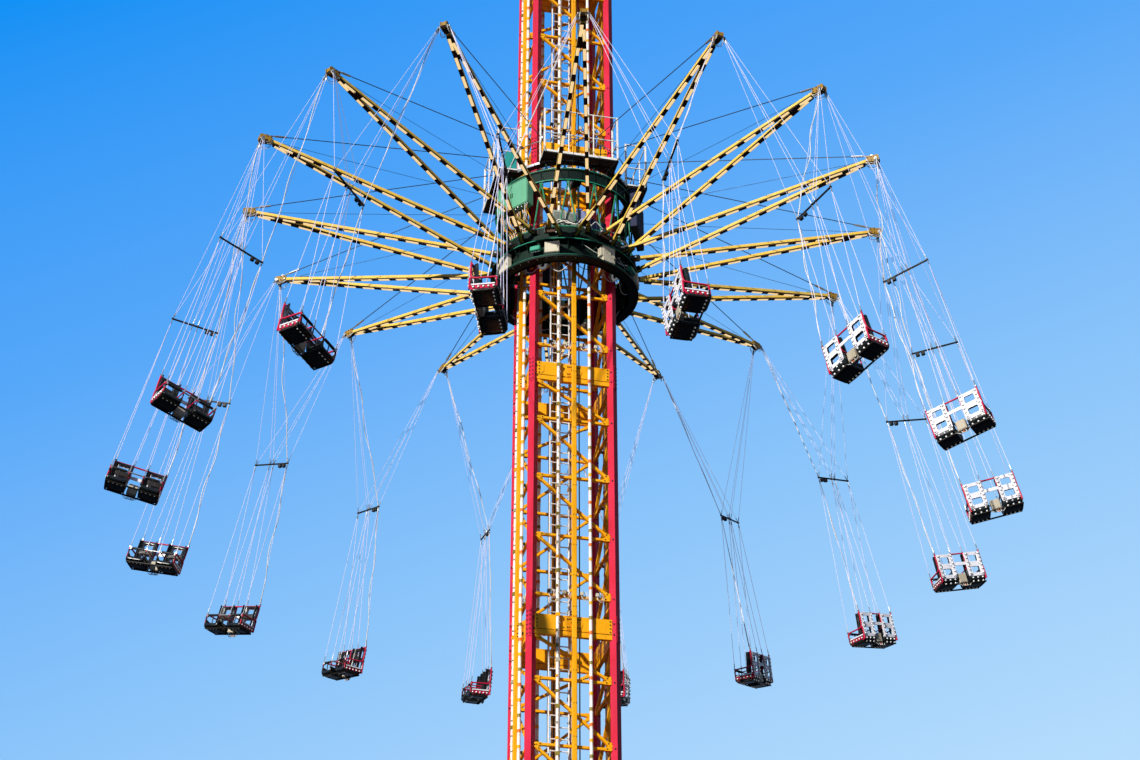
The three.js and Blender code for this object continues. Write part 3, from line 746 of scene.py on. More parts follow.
def band(face, top):
    """The folded box plate across a mast face at a splice, with its lip, end plates and bolts."""
    front = -LATTICE_FRONT
    back = -CHORD_AT + LATTICE_DEPTH / 2
    lip = top - BAND + 0.11
    face.block((-BAND_HALF, front, lip + 0.012), (BAND_HALF, back, top), golden, 0.006)
    face.block((-BAND_HALF, front, top - BAND), (BAND_HALF, back, lip), golden, 0.006)
    seam = (BAND_HALF, back - 0.012, lip + 0.012)
    # the black strip in the recess between the band's two plates is painted shade under the lip
    face.block((-BAND_HALF, front + 0.012, lip), seam, black_steel)
    middle = (lip + top) / 2
    half = ((-0.2, 0.0), (-0.14, 0.14), (0.14, 0.14))
    middle_plate = (*half, *((-x, -z) for x, z in half))
    face.put(plate(middle_plate, 0.012, 0.002), shift(0, front - 0.006, middle) @ STAND, golden)
    corner = ((0.0, -0.16), (0.0, 0.16), (0.08, 0.16), (0.15, 0.08), (0.15, -0.08), (0.08, -0.16))
    for side in (-1, 1):
        tilt = turn(0) if side < 0 else turn(math.pi)
        edge = shift(side * (BAND_HALF - 0.004), front - 0.005, middle)
        face.put(plate(corner, 0.01, 0.002), edge @ STAND @ tilt, golden)
        for height in (-0.12, -0.04, 0.04, 0.12):
            x = side * (BAND_HALF - 0.045)
            z = middle + height
            face.bolt((x, front - 0.008, z), (x, front - 0.026, z), 0.014)
        for height in (-0.09, 0.09):
            for x in (side * 0.085, side * 0.13):
                z = middle + height
                face.bolt((x, front - 0.01, z), (x, front - 0.028, z), 0.014)


def lattice_bar(face, start, end):
    """One bar of the lattice, its ends inside the chords' notches, with a bolted plate at each."""
    face.beam(start, end, 0.057, BAR, golden, 0.005, BACKWARDS)
    for a, b in ((start, end), (end, start)):
        inward = (Vector(b) - Vector(a)).normalized()
        foot = Vector(a) + inward * 0.02
        deep = LATTICE_DEPTH - 0.012
        face.beam(foot, foot + inward * 0.13, 0.074, deep, golden, 0.003, BACKWARDS)
        centre = foot + inward * 0.09 + Vector((0, -LATTICE_DEPTH / 2 + 0.006, 0))
        face.bolt(centre, centre + Vector((0, -0.014, 0)), 0.013)


def guide_post(face):
    """The box post that guides the carriage, in lengths joined at each splice."""
    half = POST_WIDTH / 2
    back = -LATTICE_FRONT - 0.005
    joints = [RAIL_FOOT] + [top - 0.05 for top in SPLICES[1:-1]] + [MAST_TOP]
    for low, high in zip(joints, joints[1:]):
        face.block((-half, -POST_FACE, low), (half, back, high - 0.006), golden, 0.01)
    for middle in joints[1:-1]:
        for side in (-1, 1):
            x = side * (half + 0.005)
            low = (min(x, side * half), -POST_FACE + 0.03, middle - 0.16)
            high = (max(x, side * half), back - 0.02, middle + 0.16)
            face.block(low, high, golden, 0.002)
            for z in (-0.12, -0.05, 0.05, 0.12):
                for y in (-POST_FACE + 0.05, back - 0.04):
                    face.bolt((x, y, middle + z), (x + side * 0.012, y, middle + z), 0.012)
    height = RAIL_FOOT + 0.4
    while height < MAST_TOP:
        for x in (-0.026, 0.026):
            face.bolt((x, -POST_FACE, height), (x, -POST_FACE - 0.004, height), 0.011)
        height += 0.7


def light_rail(face, side):
    """A round tube down the face, clamped every third of a metre and tied to each horizontal."""
    x = side * TUBE_AT
    face.bar((x, -TUBE_OUT, RAIL_FOOT), (x, -TUBE_OUT, MAST_TOP), TUBE_RADIUS, rail_tube, 14)
    clamp = rod(TUBE_RADIUS + 0.005, 0.07, 12)
    for step in range(math.ceil(RAIL_FOOT / CLAMP_STEP), int(MAST_TOP / CLAMP_STEP)):
        height = step * CLAMP_STEP
        if side > 0:
            finish = (orange_coat, olive_coat, golden)[step % 3]
            face.put(clamp, shift(x, -TUBE_OUT, height), finish)
        else:
            tall = (0.05, 0.08, 0.06)[step % 3]
            left = x - TUBE_RADIUS - 0.006
            right = x + (0.0, 0.046, 0.02)[step % 3]
            finish = (olive_coat, golden, box_grey, olive_coat)[step % 4]
            front = -TUBE_OUT - 0.043
            high = (right, -TUBE_OUT + 0.03, height + tall)
            face.block((left, front, height), high, finish, 0.004)
            at = height + 0.17
            face.block((x - 0.01, front, at), (x + 0.044, -TUBE_OUT, at + 0.03), box_grey, 0.003)
    for top in SPLICES:
        for drop in (BAND / 2, *RUNGS_BELOW_SPLICE):
            height = top - drop
            if height > RAIL_FOOT + 0.1:
                low = (x - 0.012, -TUBE_OUT + 0.02, height - 0.03)
                face.block(low, (x + 0.012, -LATTICE_FRONT + 0.01, height + 0.03), black_steel)


def wiring(face, top):
    """Junction boxes and loops of white wire on the horizontal above a splice."""
    height = top + BAY - RUNGS_BELOW_SPLICE[-1] + 0.02
    front = -LATTICE_FRONT
    boxes = ((-0.52, black_steel), (-0.2, cream_coat), (0.17, cream_coat), (0.5, cream_coat))
    for x, finish in boxes:
        high = (x + 0.035, front + 0.02, height + 0.08)
        face.block((x - 0.035, front - 0.05, height), high, finish, 0.006)
        for loop in range(3):
            reach = 0.04 + 0.03 * loop
            y = front - 0.035
            points = [
                (x, y, height),
                (x - 0.03 * (loop % 2), y - 0.02, height - reach),
                (x + reach, y - 0.03, height - reach - 0.05),
                (x + reach + 0.05, y, height - 0.03),
                (x + reach, y + 0.02, height + 0.1),
            ]
            face.put(hose(points, 0.0045), Matrix(), white_hose if loop else black_rubber)


def mast_face():
    """One side of the mast, made as the side that looks along -Y."""
    face = Piece()
    gusset = ((0.0, 0.02), (0.0, 0.14), (-0.04, 0.14), (-0.13, 0.02))
    for top in SPLICES:
        band(face, top)
        drops = (FIRST_BAY - BASE_HEIGHT - 0.3,) if top == FIRST_BAY else RUNGS_BELOW_SPLICE
        above = top - BAND
        for drop in drops:
            level = top - drop
            right = (BAR_HALF, -CHORD_AT, level + 0.04)
            lattice_bar(face, (-BAR_HALF, -CHORD_AT, level), (BAR_HALF, -CHORD_AT, level))
            lattice_bar(face, (-BAR_HALF, -CHORD_AT, above - 0.02), right)
            stand = shift(BAR_HALF - 0.01, -CHORD_AT - 0.031, level) @ STAND
            face.put(plate(gusset, 0.01), stand, golden)
            above = level
        if top < MAST_TOP:
            wiring(face, top)
    guide_post(face)
    for side in (-1, 1):
        light_rail(face, side)
    return face.mesh("mast_side")


def mast_faces():
    """The four sides of the mast, one mesh each."""
    side = mast_face()
    for number, name in enumerate(("front", "right", "back", "left")):
        mesh = placed(side, "mast_side_" + name, turn(number * QUARTER))
        show(mesh, "tower", ["mast_face_" + name])


def chord_fittings():
    """Splice plates on each chord's outermost facet, and the lattice's bolts on the next two."""
    corner = Piece()
    flat = CHORD / 2 * math.cos(QUARTER / 2)
    centre = shift(-CHORD_AT, -CHORD_AT)
    outward = math.radians(-135)
    for top in SPLICES[:-1]:
        middle = top - BAND / 2
        place = centre @ turn(outward)
        high = (flat + 0.01, 0.058, middle + 0.3)
        corner.block((flat, -0.058, middle - 0.3), high, crimson, 0.003, place)
        for height in (-0.25, -0.15, -0.05, 0.05, 0.15, 0.25):
            for y in (-0.034, 0.034):
                start = place @ Vector((flat + 0.01, y, middle + height))
                corner.bolt(start, start + place.to_3x3() @ Vector((0.018, 0, 0)), 0.013)
        levels = [middle - 0.12, middle + 0.12]
        levels += [top + BAY - drop for drop in RUNGS_BELOW_SPLICE]
        for side in (-1, 1):
            beside = centre @ turn(outward - side * QUARTER)
            for level in levels:
                start = beside @ Vector((flat, side * 0.036, level))
                corner.bolt(start, start + beside.to_3x3() @ Vector((0.02, 0, 0)), 0.018)
    pattern = corner.mesh("chord_corner")
    fittings = Piece()
    for number in range(4):
        fittings.add(pattern, turn(number * QUARTER))
    show(fittings.mesh("chord_fittings"), "tower")
    for name in ("front_left", "front_right", "back_right", "back_left"):
        node = frame["nodes"]["mast_chord_" + name]
        node.data.materials.clear()
        node.data.materials.append(crimson)


def climbing_ladder():
    """The ladder inside the front face, its ties at the splices, and its fall-arrest rail."""
    ladder = Piece()
    x = LADDER_X
    y = LADDER_Y
    foot = BASE_HEIGHT + GAP
    for at in (x - LADDER_HALF, x + LADDER_HALF):
        high = (at + 0.0125, y + 0.025, MAST_TOP)
        ladder.block((at - 0.0125, y - 0.025, foot), high, rail_white, 0.004)
    rung = rod(0.014, 2 * LADDER_HALF, 8)
    height = foot + RUNG_STEP
    while height < MAST_TOP:
        ladder.put(rung, shift(x - LADDER_HALF, y, height) @ LYING, rail_white)
        height += RUNG_STEP
    wall = -CHORD_AT + LATTICE_DEPTH / 2
    for top in SPLICES:
        middle = top - BAND / 2
        for at in (x - LADDER_HALF, x + LADDER_HALF):
            high = (at + 0.012, y, middle + 0.025)
            ladder.block((at - 0.012, wall, middle - 0.025), high, zinc, 0.003)
        high = (x + 0.09, y + 0.02, middle + 0.02)
        ladder.block((x - 0.09, y - 0.005, middle - 0.02), high, zinc)
    high = (x + 0.015, y - 0.035, MAST_TOP - 0.2)
    ladder.block((x - 0.015, y - 0.06, foot + 1.2), high, zinc, 0.003)
    show(ladder.mesh("climbing_ladder"), "tower", ["mast_ladder"])


def hoist_ropes():
    """Four rope falls from the sheaves to their turnbuckles on a plate in the base."""
    ropes = Piece()
    foot = BASE_HEIGHT + GAP
    out = SHEAVE_RADIUS + ROPE_RADIUS + GAP
    high = (SHEAVE_AT + 0.06, out + 0.06, foot + 0.025)
    ropes.block((-SHEAVE_AT - 0.06, -out - 0.06, foot), high, black_steel, 0.003)
    for side in (-1, 1):
        for edge in (-1, 1):
            x = side * SHEAVE_AT
            y = edge * out
            ropes.bar((x, y, foot + 0.32), (x, y, SHEAVE_HEIGHT), ROPE_RADIUS, dark_rope, 10)
            ropes.bar((x, y, foot + 0.3), (x, y, foot + 0.5), 0.03, zinc, 12)
            ropes.bar((x, y, foot + 0.02), (x, y, foot + 0.3), 0.018, zinc, 10)
            for z in (0.03, 0.24):
                ropes.bolt((x, y, foot + z), (x, y, foot + z + 0.04), 0.035)
    show(ropes.mesh("hoist_rope_falls"), "tower", ["hoist_ropes"])


def sheave():
    """A grooved hoist sheave with six spokes, its axle along X."""
    wheel = Piece()
    rim = SHEAVE_RADIUS
    groove = (
        (rim - 0.07, -0.035),
        (rim + 0.02, -0.035),
        (rim + 0.02, -0.026),
        (rim - 0.004, -0.013),
        (rim - 0.004, 0.013),
        (rim + 0.02, 0.026),
        (rim + 0.02, 0.035),
        (rim - 0.07, 0.035),
    )
    wheel.put(turned(groove, 48), Matrix(), golden)
    wheel.put(ring(0.042, 0.09, -0.045, 0.045, 24), Matrix(), golden)
    for spoke in range(SPOKES):
        angle = spoke * FULL / SPOKES
        wheel.beam(around(0.08, angle), around(rim - 0.06, angle), 0.05, 0.03, golden, 0.004)
    return wheel.mesh("sheave")


def head_works():
    """Beams on the chords, bearers with flanges, bearing plates, axles and the hoist sheaves."""
    head = Piece()
    low = MAST_TOP + GAP
    high = MAST_TOP + 0.3
    out = CHORD_OUT
    flange = 0.02
    web = 0.07
    cheek = ((-0.12, -0.38), (0.12, -0.38), (0.09, 0.06), (0.05, 0.1), (-0.05, 0.1), (-0.09, 0.06))
    beside = Matrix(((0, 0, 1, 0), (1, 0, 0, 0), (0, 1, 0, 0), (0, 0, 0, 1)))
    for side in (-1, 1):
        for number in (0, 1):
            place = turn(number * QUARTER)
            near, far = sorted((side * (CHORD_AT - CHORD / 2), side * out))
            middle = (near + far) / 2
            under = low + flange
            over = high - flange
            head.block((-out, near, low), (out, far, under), golden, 0.003, place)
            head.block((-out, near, over), (out, far, high), golden, 0.003, place)
            head.block((-out, middle - web, under), (out, middle + web, over), golden, 0.0, place)
            for x in (-0.6, -0.2, 0.2, 0.6):
                stiffener = (x + 0.006, far - 0.01, over)
                head.block((x - 0.006, near + 0.01, under), stiffener, golden, 0.0, place)
        sheave_x = side * SHEAVE_AT
        for offset in (-0.08, 0.08):
            x = sheave_x + offset
            head.block((x - 0.025, -out + 0.05, low), (x + 0.025, out - 0.05, high), golden, 0.004)
            head.put(plate(cheek, 0.03, 0.004), shift(x, 0, SHEAVE_HEIGHT) @ beside, golden)
        axle = shift(sheave_x - 0.13, 0, SHEAVE_HEIGHT) @ LYING
        head.put(rod(0.04, 0.26, 20), axle, zinc)
        for end in (-1, 1):
            at = Vector((sheave_x + end * 0.128, 0, SHEAVE_HEIGHT))
            head.bolt(at, at + Vector((end * 0.02, 0, 0)), 0.05)
        head.add(sheave(), shift(sheave_x, 0, SHEAVE_HEIGHT) @ LYING)
    for x in (-1, 1):
        for y in (-1, 1):
            corner = Vector((x * CHORD_AT, y * CHORD_AT, high))
            for dx in (-0.07, 0.07):
                for dy in (-0.07, 0.07):
                    start = corner + Vector((dx, dy, 0))
                    head.bolt(start, start + UP * 0.03, 0.022)
    show(head.mesh("head_works"), "tower", ["head_frame"])


BEAMS_AT = (-CHORD_AT, 0, CHORD_AT)
BEAM_HALF = 0.15
BEAM_FLANGE = 0.025
STIFFENER_STEP = 0.3
COLLAR_LOW = 1.55
COLLAR_TOP = 1.73
COLLAR_PLATE = 0.02
COLLAR_IN = CHORD_OUT + GAP
COLLAR_OUT = COLLAR_IN + 0.1
FOOT_PLATE = BASE_HEIGHT + 0.02  # the top of the plates that are bolted to the beams


def base_beam(base, at, place, lift):
    """One flanged beam, its end plates, bolts and stiffeners, lifted clear of those it crosses."""
    reach = BEAM_REACH
    half = BEAM_HALF
    low = BEAM_FLANGE
    high = BASE_HEIGHT - BEAM_FLANGE
    top = BASE_HEIGHT - lift
    base.block((-reach, at - half, lift), (reach, at + half, low + lift), hub_green, 0.003, place)
    base.block((-reach, at - half, high), (reach, at + half, top), hub_green, 0.003, place)
    base.block((-reach, at - 0.012, low), (reach, at + 0.012, high), hub_green, 0.0, place)
    for end in (-1, 1):
        near, far = sorted((end * reach, end * (reach - 0.02)))
        corner = (far, at + half, BASE_HEIGHT - 0.002)
        base.block((near, at - half, 0.002), corner, hub_green, 0.003, place)
        for y in (-0.1, 0.1):
            for z in (0.09, 0.31):
                start = Vector((end * reach, at + y, z))
                base.bolt(place @ start, place @ (start + Vector((end * -0.002, 0, 0))), 0.01)
        foot = Vector((end * (reach - 0.22), at, 0))
        for y in (-0.1, 0.1):
            start = place @ (foot + Vector((0, y, low)))
            base.bolt(start, start + UP * 0.035, 0.022)
    x = -reach + STIFFENER_STEP
    while x < reach:
        if all(abs(x - other) > half + 0.03 for other in BEAMS_AT):
            corner = (x + 0.006, at + half - 0.01, high)
            base.block((x - 0.006, at - half + 0.01, low), corner, hub_green, 0.0, place)
        x += STIFFENER_STEP


def base_collar(base, place):
    """One side of the collar that holds the mast: two flanges, the web and its ribs."""
    inner = -COLLAR_IN
    outer = -COLLAR_OUT
    low = COLLAR_LOW + COLLAR_PLATE
    for z in (COLLAR_LOW, COLLAR_TOP):
        corner = (COLLAR_OUT, inner, z + COLLAR_PLATE)
        base.block((outer, outer, z), corner, hub_green, 0.003, place)
    web = (COLLAR_OUT, inner - 0.01, COLLAR_TOP)
    base.block((outer, inner - 0.03, low), web, hub_green, 0.0, place)
    for rib in range(-4, 5):
        x = rib * 0.24
        corner = (x + 0.005, inner, COLLAR_TOP)
        base.block((x - 0.005, outer + 0.005, low), corner, hub_green, 0.0, place)


def raker(base, at, place):
    """A slanting strut from a beam's end to the collar, on a bolted plate."""
    near = -BEAM_REACH
    foot = place @ Vector((at, near + 0.1, BASE_HEIGHT - 0.04))
    head = place @ Vector((at, -COLLAR_IN - 0.06, COLLAR_LOW + 0.07))
    base.beam(foot, head, 0.09, 0.09, hub_green, 0.008)
    corner = (at + 0.11, near + 0.25, FOOT_PLATE)
    base.block((at - 0.11, near + 0.01, BASE_HEIGHT), corner, hub_green, 0.003, place)
    for x in (-0.08, 0.08):
        start = place @ Vector((at + x, near + 0.05, FOOT_PLATE))
        base.bolt(start, start + UP * 0.03, 0.018)


def chord_foot(base, at, place):
    """The plate that bolts a chord's foot down."""
    corner = (at + 0.16, -CHORD_AT - 0.112, FOOT_PLATE)
    base.block((at - 0.16, -CHORD_AT - 0.16, BASE_HEIGHT), corner, hub_green, 0.003, place)
    for x in (-0.12, 0.12):
        start = place @ Vector((at + x, -CHORD_AT - 0.137, FOOT_PLATE))
        base.bolt(start, start + UP * 0.03, 0.02)


def base_grillage():
    """Six flanged beams with stiffeners and end plates, four pairs of rakers, and the collar."""
    base = Piece()
    for number in (0, 1):
        for at in BEAMS_AT:
            base_beam(base, at, turn(number * QUARTER), 0.0006 * number)
    for number in range(4):
        place = turn(number * QUARTER)
        base_collar(base, place)
        for at in (-CHORD_AT, CHORD_AT):
            raker(base, at, place)
        for at in (-CHORD_AT, CHORD_AT):
            chord_foot(base, at, place)
    show(base.mesh("base_grillage"), "tower", ["base_frame"])


# Carriage

DRUM_POSTS = 8
DRUM_BOLTS = 48
DRUM_RIBS = 24


def carriage_drum():
    """The sleeve round the mast with its ribs, the top ring, the posts, and the guide rollers."""
    drum = Piece()
    up = shift(z=RING)
    ring_out = SLEEVE_OUT + 0.038
    rings = (
        ring(SLEEVE_IN, SLEEVE_OUT - 0.01, DRUM_LOW, DRUM_TOP),
        ring(SLEEVE_IN, FLANGE_OUT, DRUM_LOW, DRUM_LOW + 0.05),
        ring(SLEEVE_IN - 0.002, SLEEVE_OUT, DRUM_TOP - 0.03, DRUM_TOP),
        ring(SLEEVE_IN, ring_out, TOP_RING_LOW, TOP_RING_LOW + 0.02),
        ring(SLEEVE_IN, ring_out, TOP_RING_TOP - 0.02, TOP_RING_TOP),
        ring(SLEEVE_IN + 0.02, SLEEVE_OUT, TOP_RING_LOW + 0.02, TOP_RING_TOP - 0.02),
    )
    for made in rings:
        drum.put(made, up, hub_green)
    # the sea-green hoop on the flange's rim is a painted highlight
    drum.put(hoop(FLANGE_OUT - 0.008, 0.009), up @ shift(z=DRUM_LOW + 0.052), sea_green_and_rim_highlight)
    for post in range(DRUM_POSTS):
        angle = post * FULL / DRUM_POSTS
        foot = around(SLEEVE_IN + 0.028, angle, RING + DRUM_TOP - 0.05)
        head = around(SLEEVE_IN + 0.028, angle, RING + TOP_RING_LOW + 0.01)
        drum.bar(foot, head, 0.024, hub_green, 12)
        plinth = around(SLEEVE_IN + 0.02, angle, RING + DRUM_TOP)
        drum.beam(plinth, plinth + UP * 0.02, 0.11, 0.055, hub_green, 0.002)
    for number in range(DRUM_BOLTS):
        angle = (number + 0.5) * FULL / DRUM_BOLTS
        low = around(FLANGE_OUT - 0.045, angle, RING + DRUM_LOW)
        drum.bolt(low, low - UP * 0.022, 0.018)
        high = around(SLEEVE_OUT + 0.01, angle, RING + TOP_RING_TOP)
        drum.bolt(high, high + UP * 0.016, 0.014)
    for rib in range(DRUM_RIBS):
        angle = rib * FULL / DRUM_RIBS
        inside = around(SLEEVE_IN - 0.02, angle, RING + DRUM_LOW + 0.03)
        high = inside + UP * (DRUM_TOP - DRUM_LOW - 0.1)
        drum.beam(inside, high, 0.012, 0.05, hub_green, 0.0, around(1, angle))
    for number in range(4):
        place = turn(number * QUARTER)
        for height in (-0.35, TOP_RING_LOW + 0.075):
            guide_rollers(drum, place @ shift(z=RING + height))
    show(drum.mesh("carriage_drum"), "carriage", ["carriage_frame"])


def guide_rollers(drum, place):
    """A bracket from the ring to the guide post, with a shoe and two rubber-tyred rollers."""
    outer = -SLEEVE_IN - 0.01
    inner = -POST_FACE - GAP
    drum.block((-0.09, outer, -0.07), (-0.075, inner, 0.07), hub_green, 0.002, place)
    drum.block((0.075, outer, -0.07), (0.09, inner, 0.07), hub_green, 0.002, place)
    drum.block((-0.09, outer, -0.008), (0.09, inner - 0.1, 0.008), hub_green, 0.0, place)
    drum.block((-0.075, inner - 0.05, -0.06), (0.075, inner, 0.06), orange_coat, 0.004, place)
    for height in (-0.04, 0.04):
        axle = place @ shift(-0.065, inner - 0.1, height) @ LYING
        drum.put(rod(0.032, 0.13, 16), axle, black_rubber)
    for x in (-1, 1):
        for y in (-0.06, -0.14, -0.22):
            start = place @ Vector((x * 0.09, inner + y, 0.04))
            drum.bolt(start, start + place.to_3x3() @ Vector((x * 0.012, 0, 0)), 0.012)


GRATE_BARS = 50
GRATE_LOW = DECK_TOP - 0.034
GRATE_TOP = DECK_TOP - 0.002
GRATE_HALF = 0.0025  # of one bar's thickness
GRATE_STEP = 0.033  # between the cross bars
JOIST_TOP = DECK_TOP - 0.036
RAIL_CORNER = DECK_HALF - 0.02
RAIL_NEAR = DECK_NEAR + 0.02
RAIL_FAR = -1.28


def deck_frame(deck):
    """The dark joists and side plates of a platform, and its thin white toe boards."""
    half = DECK_HALF
    near = DECK_NEAR
    for y in (near, near + 0.26):
        deck.block((-half, y, DECK_LOW), (half, y + 0.03, JOIST_TOP), black_steel, 0.003)
    toe = DECK_TOP + 0.03
    deck.block((-half, near, DECK_TOP - 0.03), (half, near + 0.012, toe), rail_white, 0.003)
    ring_at = -math.sqrt(DECK_OUT ** 2 - half ** 2)
    for side in (-1, 1):
        low, high = sorted((side * half, side * (half - 0.03)))
        deck.block((low, near, DECK_LOW), (high, ring_at, DECK_TOP), black_steel, 0.003)
        low, high = sorted((side * half, side * (half - 0.006)))
        deck.block((low, near, DECK_TOP - 0.02), (high, RAIL_FAR + 0.01, toe), rail_white)


def grating(deck):
    """Open bars both ways, the long ones from the edge to the ring, and three joists beneath."""
    thin = GRATE_HALF
    inner = DECK_IN + 0.01
    for number in range(1, GRATE_BARS):
        x = -DECK_HALF + 0.03 + (2 * DECK_HALF - 0.06) * number / GRATE_BARS
        far = -math.sqrt(inner ** 2 - x * x)
        deck.block((x - thin, DECK_NEAR + 0.012, GRATE_LOW), (x + thin, far, GRATE_TOP), umber)
    y = DECK_NEAR + 0.04
    while y < -0.9:
        inside = math.sqrt(max(0.0, inner ** 2 - y * y))
        for side in (-1, 1):
            if inside < DECK_HALF - 0.05:
                low, high = sorted((side * inside, side * (DECK_HALF - 0.03)))
                deck.block((low, y - thin, GRATE_LOW), (high, y + thin, GRATE_TOP), umber)
        y += GRATE_STEP
    for x in (-0.5, 0.0, 0.5):
        far = -math.sqrt(DECK_OUT ** 2 - x * x) + 0.02
        corner = (x + 0.02, far, JOIST_TOP)
        deck.block((x - 0.02, DECK_NEAR + 0.012, DECK_LOW), corner, black_steel, 0.003)


def guard_rail(deck):
    """White posts on zinc shoes round three sides of a platform, with two rails between."""
    corners = [
        (-RAIL_CORNER, RAIL_FAR),
        (-RAIL_CORNER, RAIL_NEAR),
        (RAIL_CORNER, RAIL_NEAR),
        (RAIL_CORNER, RAIL_FAR),
    ]
    for x, y in corners + [(-0.29, RAIL_NEAR), (0.29, RAIL_NEAR)]:
        wide = 0.02 if (x, y) in corners else 0.013
        low = (x - wide, y - wide, DECK_TOP - 0.02)
        deck.block(low, (x + wide, y + wide, RAIL_TOP), rail_white, 0.004)
        shoe = (x - wide - 0.012, y - 0.02, DECK_TOP)
        deck.block(shoe, (x + wide + 0.012, y + 0.02, DECK_TOP + 0.008), zinc)
    for start, end in zip(corners, corners[1:]):
        for height in (DECK_TOP + 0.52, RAIL_TOP - 0.013):
            deck.bar((*start, height), (*end, height), 0.014, rail_white, 10)


def deck_side():
    """One platform of the service deck, and the posts that carry it on the crown."""
    deck = Piece()
    deck_frame(deck)
    grating(deck)
    guard_rail(deck)
    for x, y in ((0.34, 1.555), (0.74, 1.405)):
        for side in (-1, 1):
            at = Vector((side * x, -y, 0))
            reach = at.normalized() * 1.59
            low = Vector((reach.x, reach.y, CROWN_TOP))
            high = Vector((reach.x, reach.y, DECK_LOW + 0.01))
            deck.beam(low, high, 0.04, 0.04, hub_green, 0.004, at.normalized())
            deck.beam(low, low + UP * 0.012, 0.1, 0.07, hub_green, 0.003, at.normalized())
    return deck.mesh("deck_side")


def service_deck():
    """The deck above the crown: a narrow ring with a railed platform on each side."""
    deck = Piece()
    up = shift(z=RING)
    inner = DECK_IN + 0.01
    outer = DECK_OUT - 0.01
    deck.put(ring(DECK_IN, DECK_OUT, DECK_LOW, DECK_LOW + 0.012), up, black_steel)
    deck.put(ring(outer, DECK_OUT, DECK_LOW, DECK_TOP), up, zinc)
    deck.put(ring(DECK_IN, inner, DECK_LOW, DECK_TOP), up, zinc)
    deck.put(ring(inner, outer, DECK_TOP - 0.008, GRATE_TOP), up, black_steel)
    side = deck_side()
    for number in range(4):
        deck.add(side, up @ turn(number * QUARTER))
    panel = shift(-1.46, -DECK_HALF + 0.012, RING + DECK_TOP + 0.26)
    deck.block((-0.14, -0.006, -0.23), (0.14, 0.006, 0.23), teal_sheet, 0.003, panel)
    show(deck.mesh("service_deck"), "star", ["service_platform"])


LOUVRE_STEP = 0.028
LOUVRE_LEAN = Matrix.Rotation(math.radians(28), 4, "X")


def louvred_cabinets():
    """Two grey cabinets with louvred doors, and a grey-blue box beside them."""
    made = Piece()
    foot = RING + DRUM_TOP + GAP
    front = -1.365
    for left, right in ((-0.58, -0.305), (-0.295, -0.02)):
        made.block((left, front + 0.02, foot), (right, -1.15, foot + 0.58), louvre_grey, 0.006)
        door = (right - 0.012, front + 0.02, foot + 0.56)
        made.block((left + 0.012, front + 0.006, foot + 0.02), door, louvre_grey, 0.004)
        height = foot + 0.06
        while height < foot + 0.52:
            slat = shift((left + right) / 2, front + 0.004, height) @ LOUVRE_LEAN
            made.put(box(right - left - 0.07, 0.018, 0.006), slat, louvre_grey)
            height += LOUVRE_STEP
        handle = (right - 0.02, front + 0.008, foot + 0.34)
        made.block((right - 0.035, front - 0.006, foot + 0.26), handle, black_steel, 0.002)
    made.block((-0.005, -1.42, foot), (0.21, -1.2, foot + 0.6), grey_coat, 0.008)
    made.block((0.01, -1.427, foot + 0.02), (0.195, -1.42, foot + 0.58), grey_coat, 0.004)
    made.block((0.165, -1.434, foot + 0.28), (0.18, -1.427, foot + 0.36), black_steel, 0.002)
    show(made.mesh("louvred_cabinets"), "carriage", ["cabinet_louvred"])


def low_cabinet():
    """A low navy cabinet of three ribbed doors."""
    made = Piece()
    foot = RING + DRUM_TOP + GAP
    place = turn(math.radians(20))
    made.block((-0.21, -1.435, foot), (0.21, -1.23, foot + 0.42), navy_coat_and_painted_shade, 0.006, place)
    for door in range(3):
        left = -0.2 + door * 0.135
        leaf = (left + 0.128, -1.435, foot + 0.405)
        made.block((left, -1.446, foot + 0.015), leaf, navy_coat_and_painted_shade, 0.004, place)
        for height in (foot + 0.1, foot + 0.2, foot + 0.3):
            rib = (left + 0.113, -1.446, height + 0.05)
            made.block((left + 0.015, -1.45, height), rib, navy_coat_and_painted_shade, 0.0015, place)
    show(made.mesh("low_cabinet"), "carriage", ["cabinet_blue"])


FLOODLIGHTS = (-122.7, -49.7, 57.3, 130.3)  # headings in degrees
GUIDE_LUGS = (-134.6, -45.4, 45.4, 134.6)
DRUM_LOOPS = 14


def mast_lamps():
    """Round floodlights on brackets under the drum, orange guide lugs and loops of hose."""
    made = Piece()
    housing = ((0.0, 0.0), (0.07, 0.0), (0.1, 0.05), (0.115, 0.12), (0.1, 0.12), (0.0, 0.11))
    for angle in FLOODLIGHTS:
        heading = math.radians(angle)
        at = around(1.36, heading, RING + DRUM_LOW + 0.02)
        aim = (around(1, heading) - UP * 0.45).normalized()
        place = along(at - aim * 0.06, at + aim * 0.06)
        made.put(turned(housing, 24, False), place, cream_coat)
        made.put(ring(0.05, 0.105, 0.112, 0.126, 24), place, bulb_cap)
        made.put(ball(0.045, 12, 8, 0.4), place @ shift(z=0.118), black_steel)
        wall = around(SLEEVE_IN + 0.01, heading, RING + DRUM_LOW + 0.06)
        made.beam(at, wall, 0.05, 0.02, black_steel)
    for angle in GUIDE_LUGS:
        heading = math.radians(angle)
        at = around(SLEEVE_IN - 0.05, heading, RING + DRUM_LOW - 0.02)
        made.beam(at, at + UP * 0.14, 0.07, 0.06, orange_coat, 0.006, around(1, heading))
    random.seed(7)
    for loop in range(DRUM_LOOPS):
        start = math.radians(-170 + loop * 26)
        sag = random.uniform(0.1, 0.3)
        points = []
        for step in range(6):
            angle = start + step * math.radians(4.5)
            drop = sag * math.sin(step / 5 * math.pi)
            out = SLEEVE_IN - 0.03 - 0.05 * math.sin(step)
            points.append(around(out, angle, RING + DRUM_LOW + 0.02 - drop))
        made.put(hose(points, 0.009), Matrix(), white_hose if loop % 3 else black_rubber)
    show(made.mesh("mast_lamps"), "carriage")


# Star

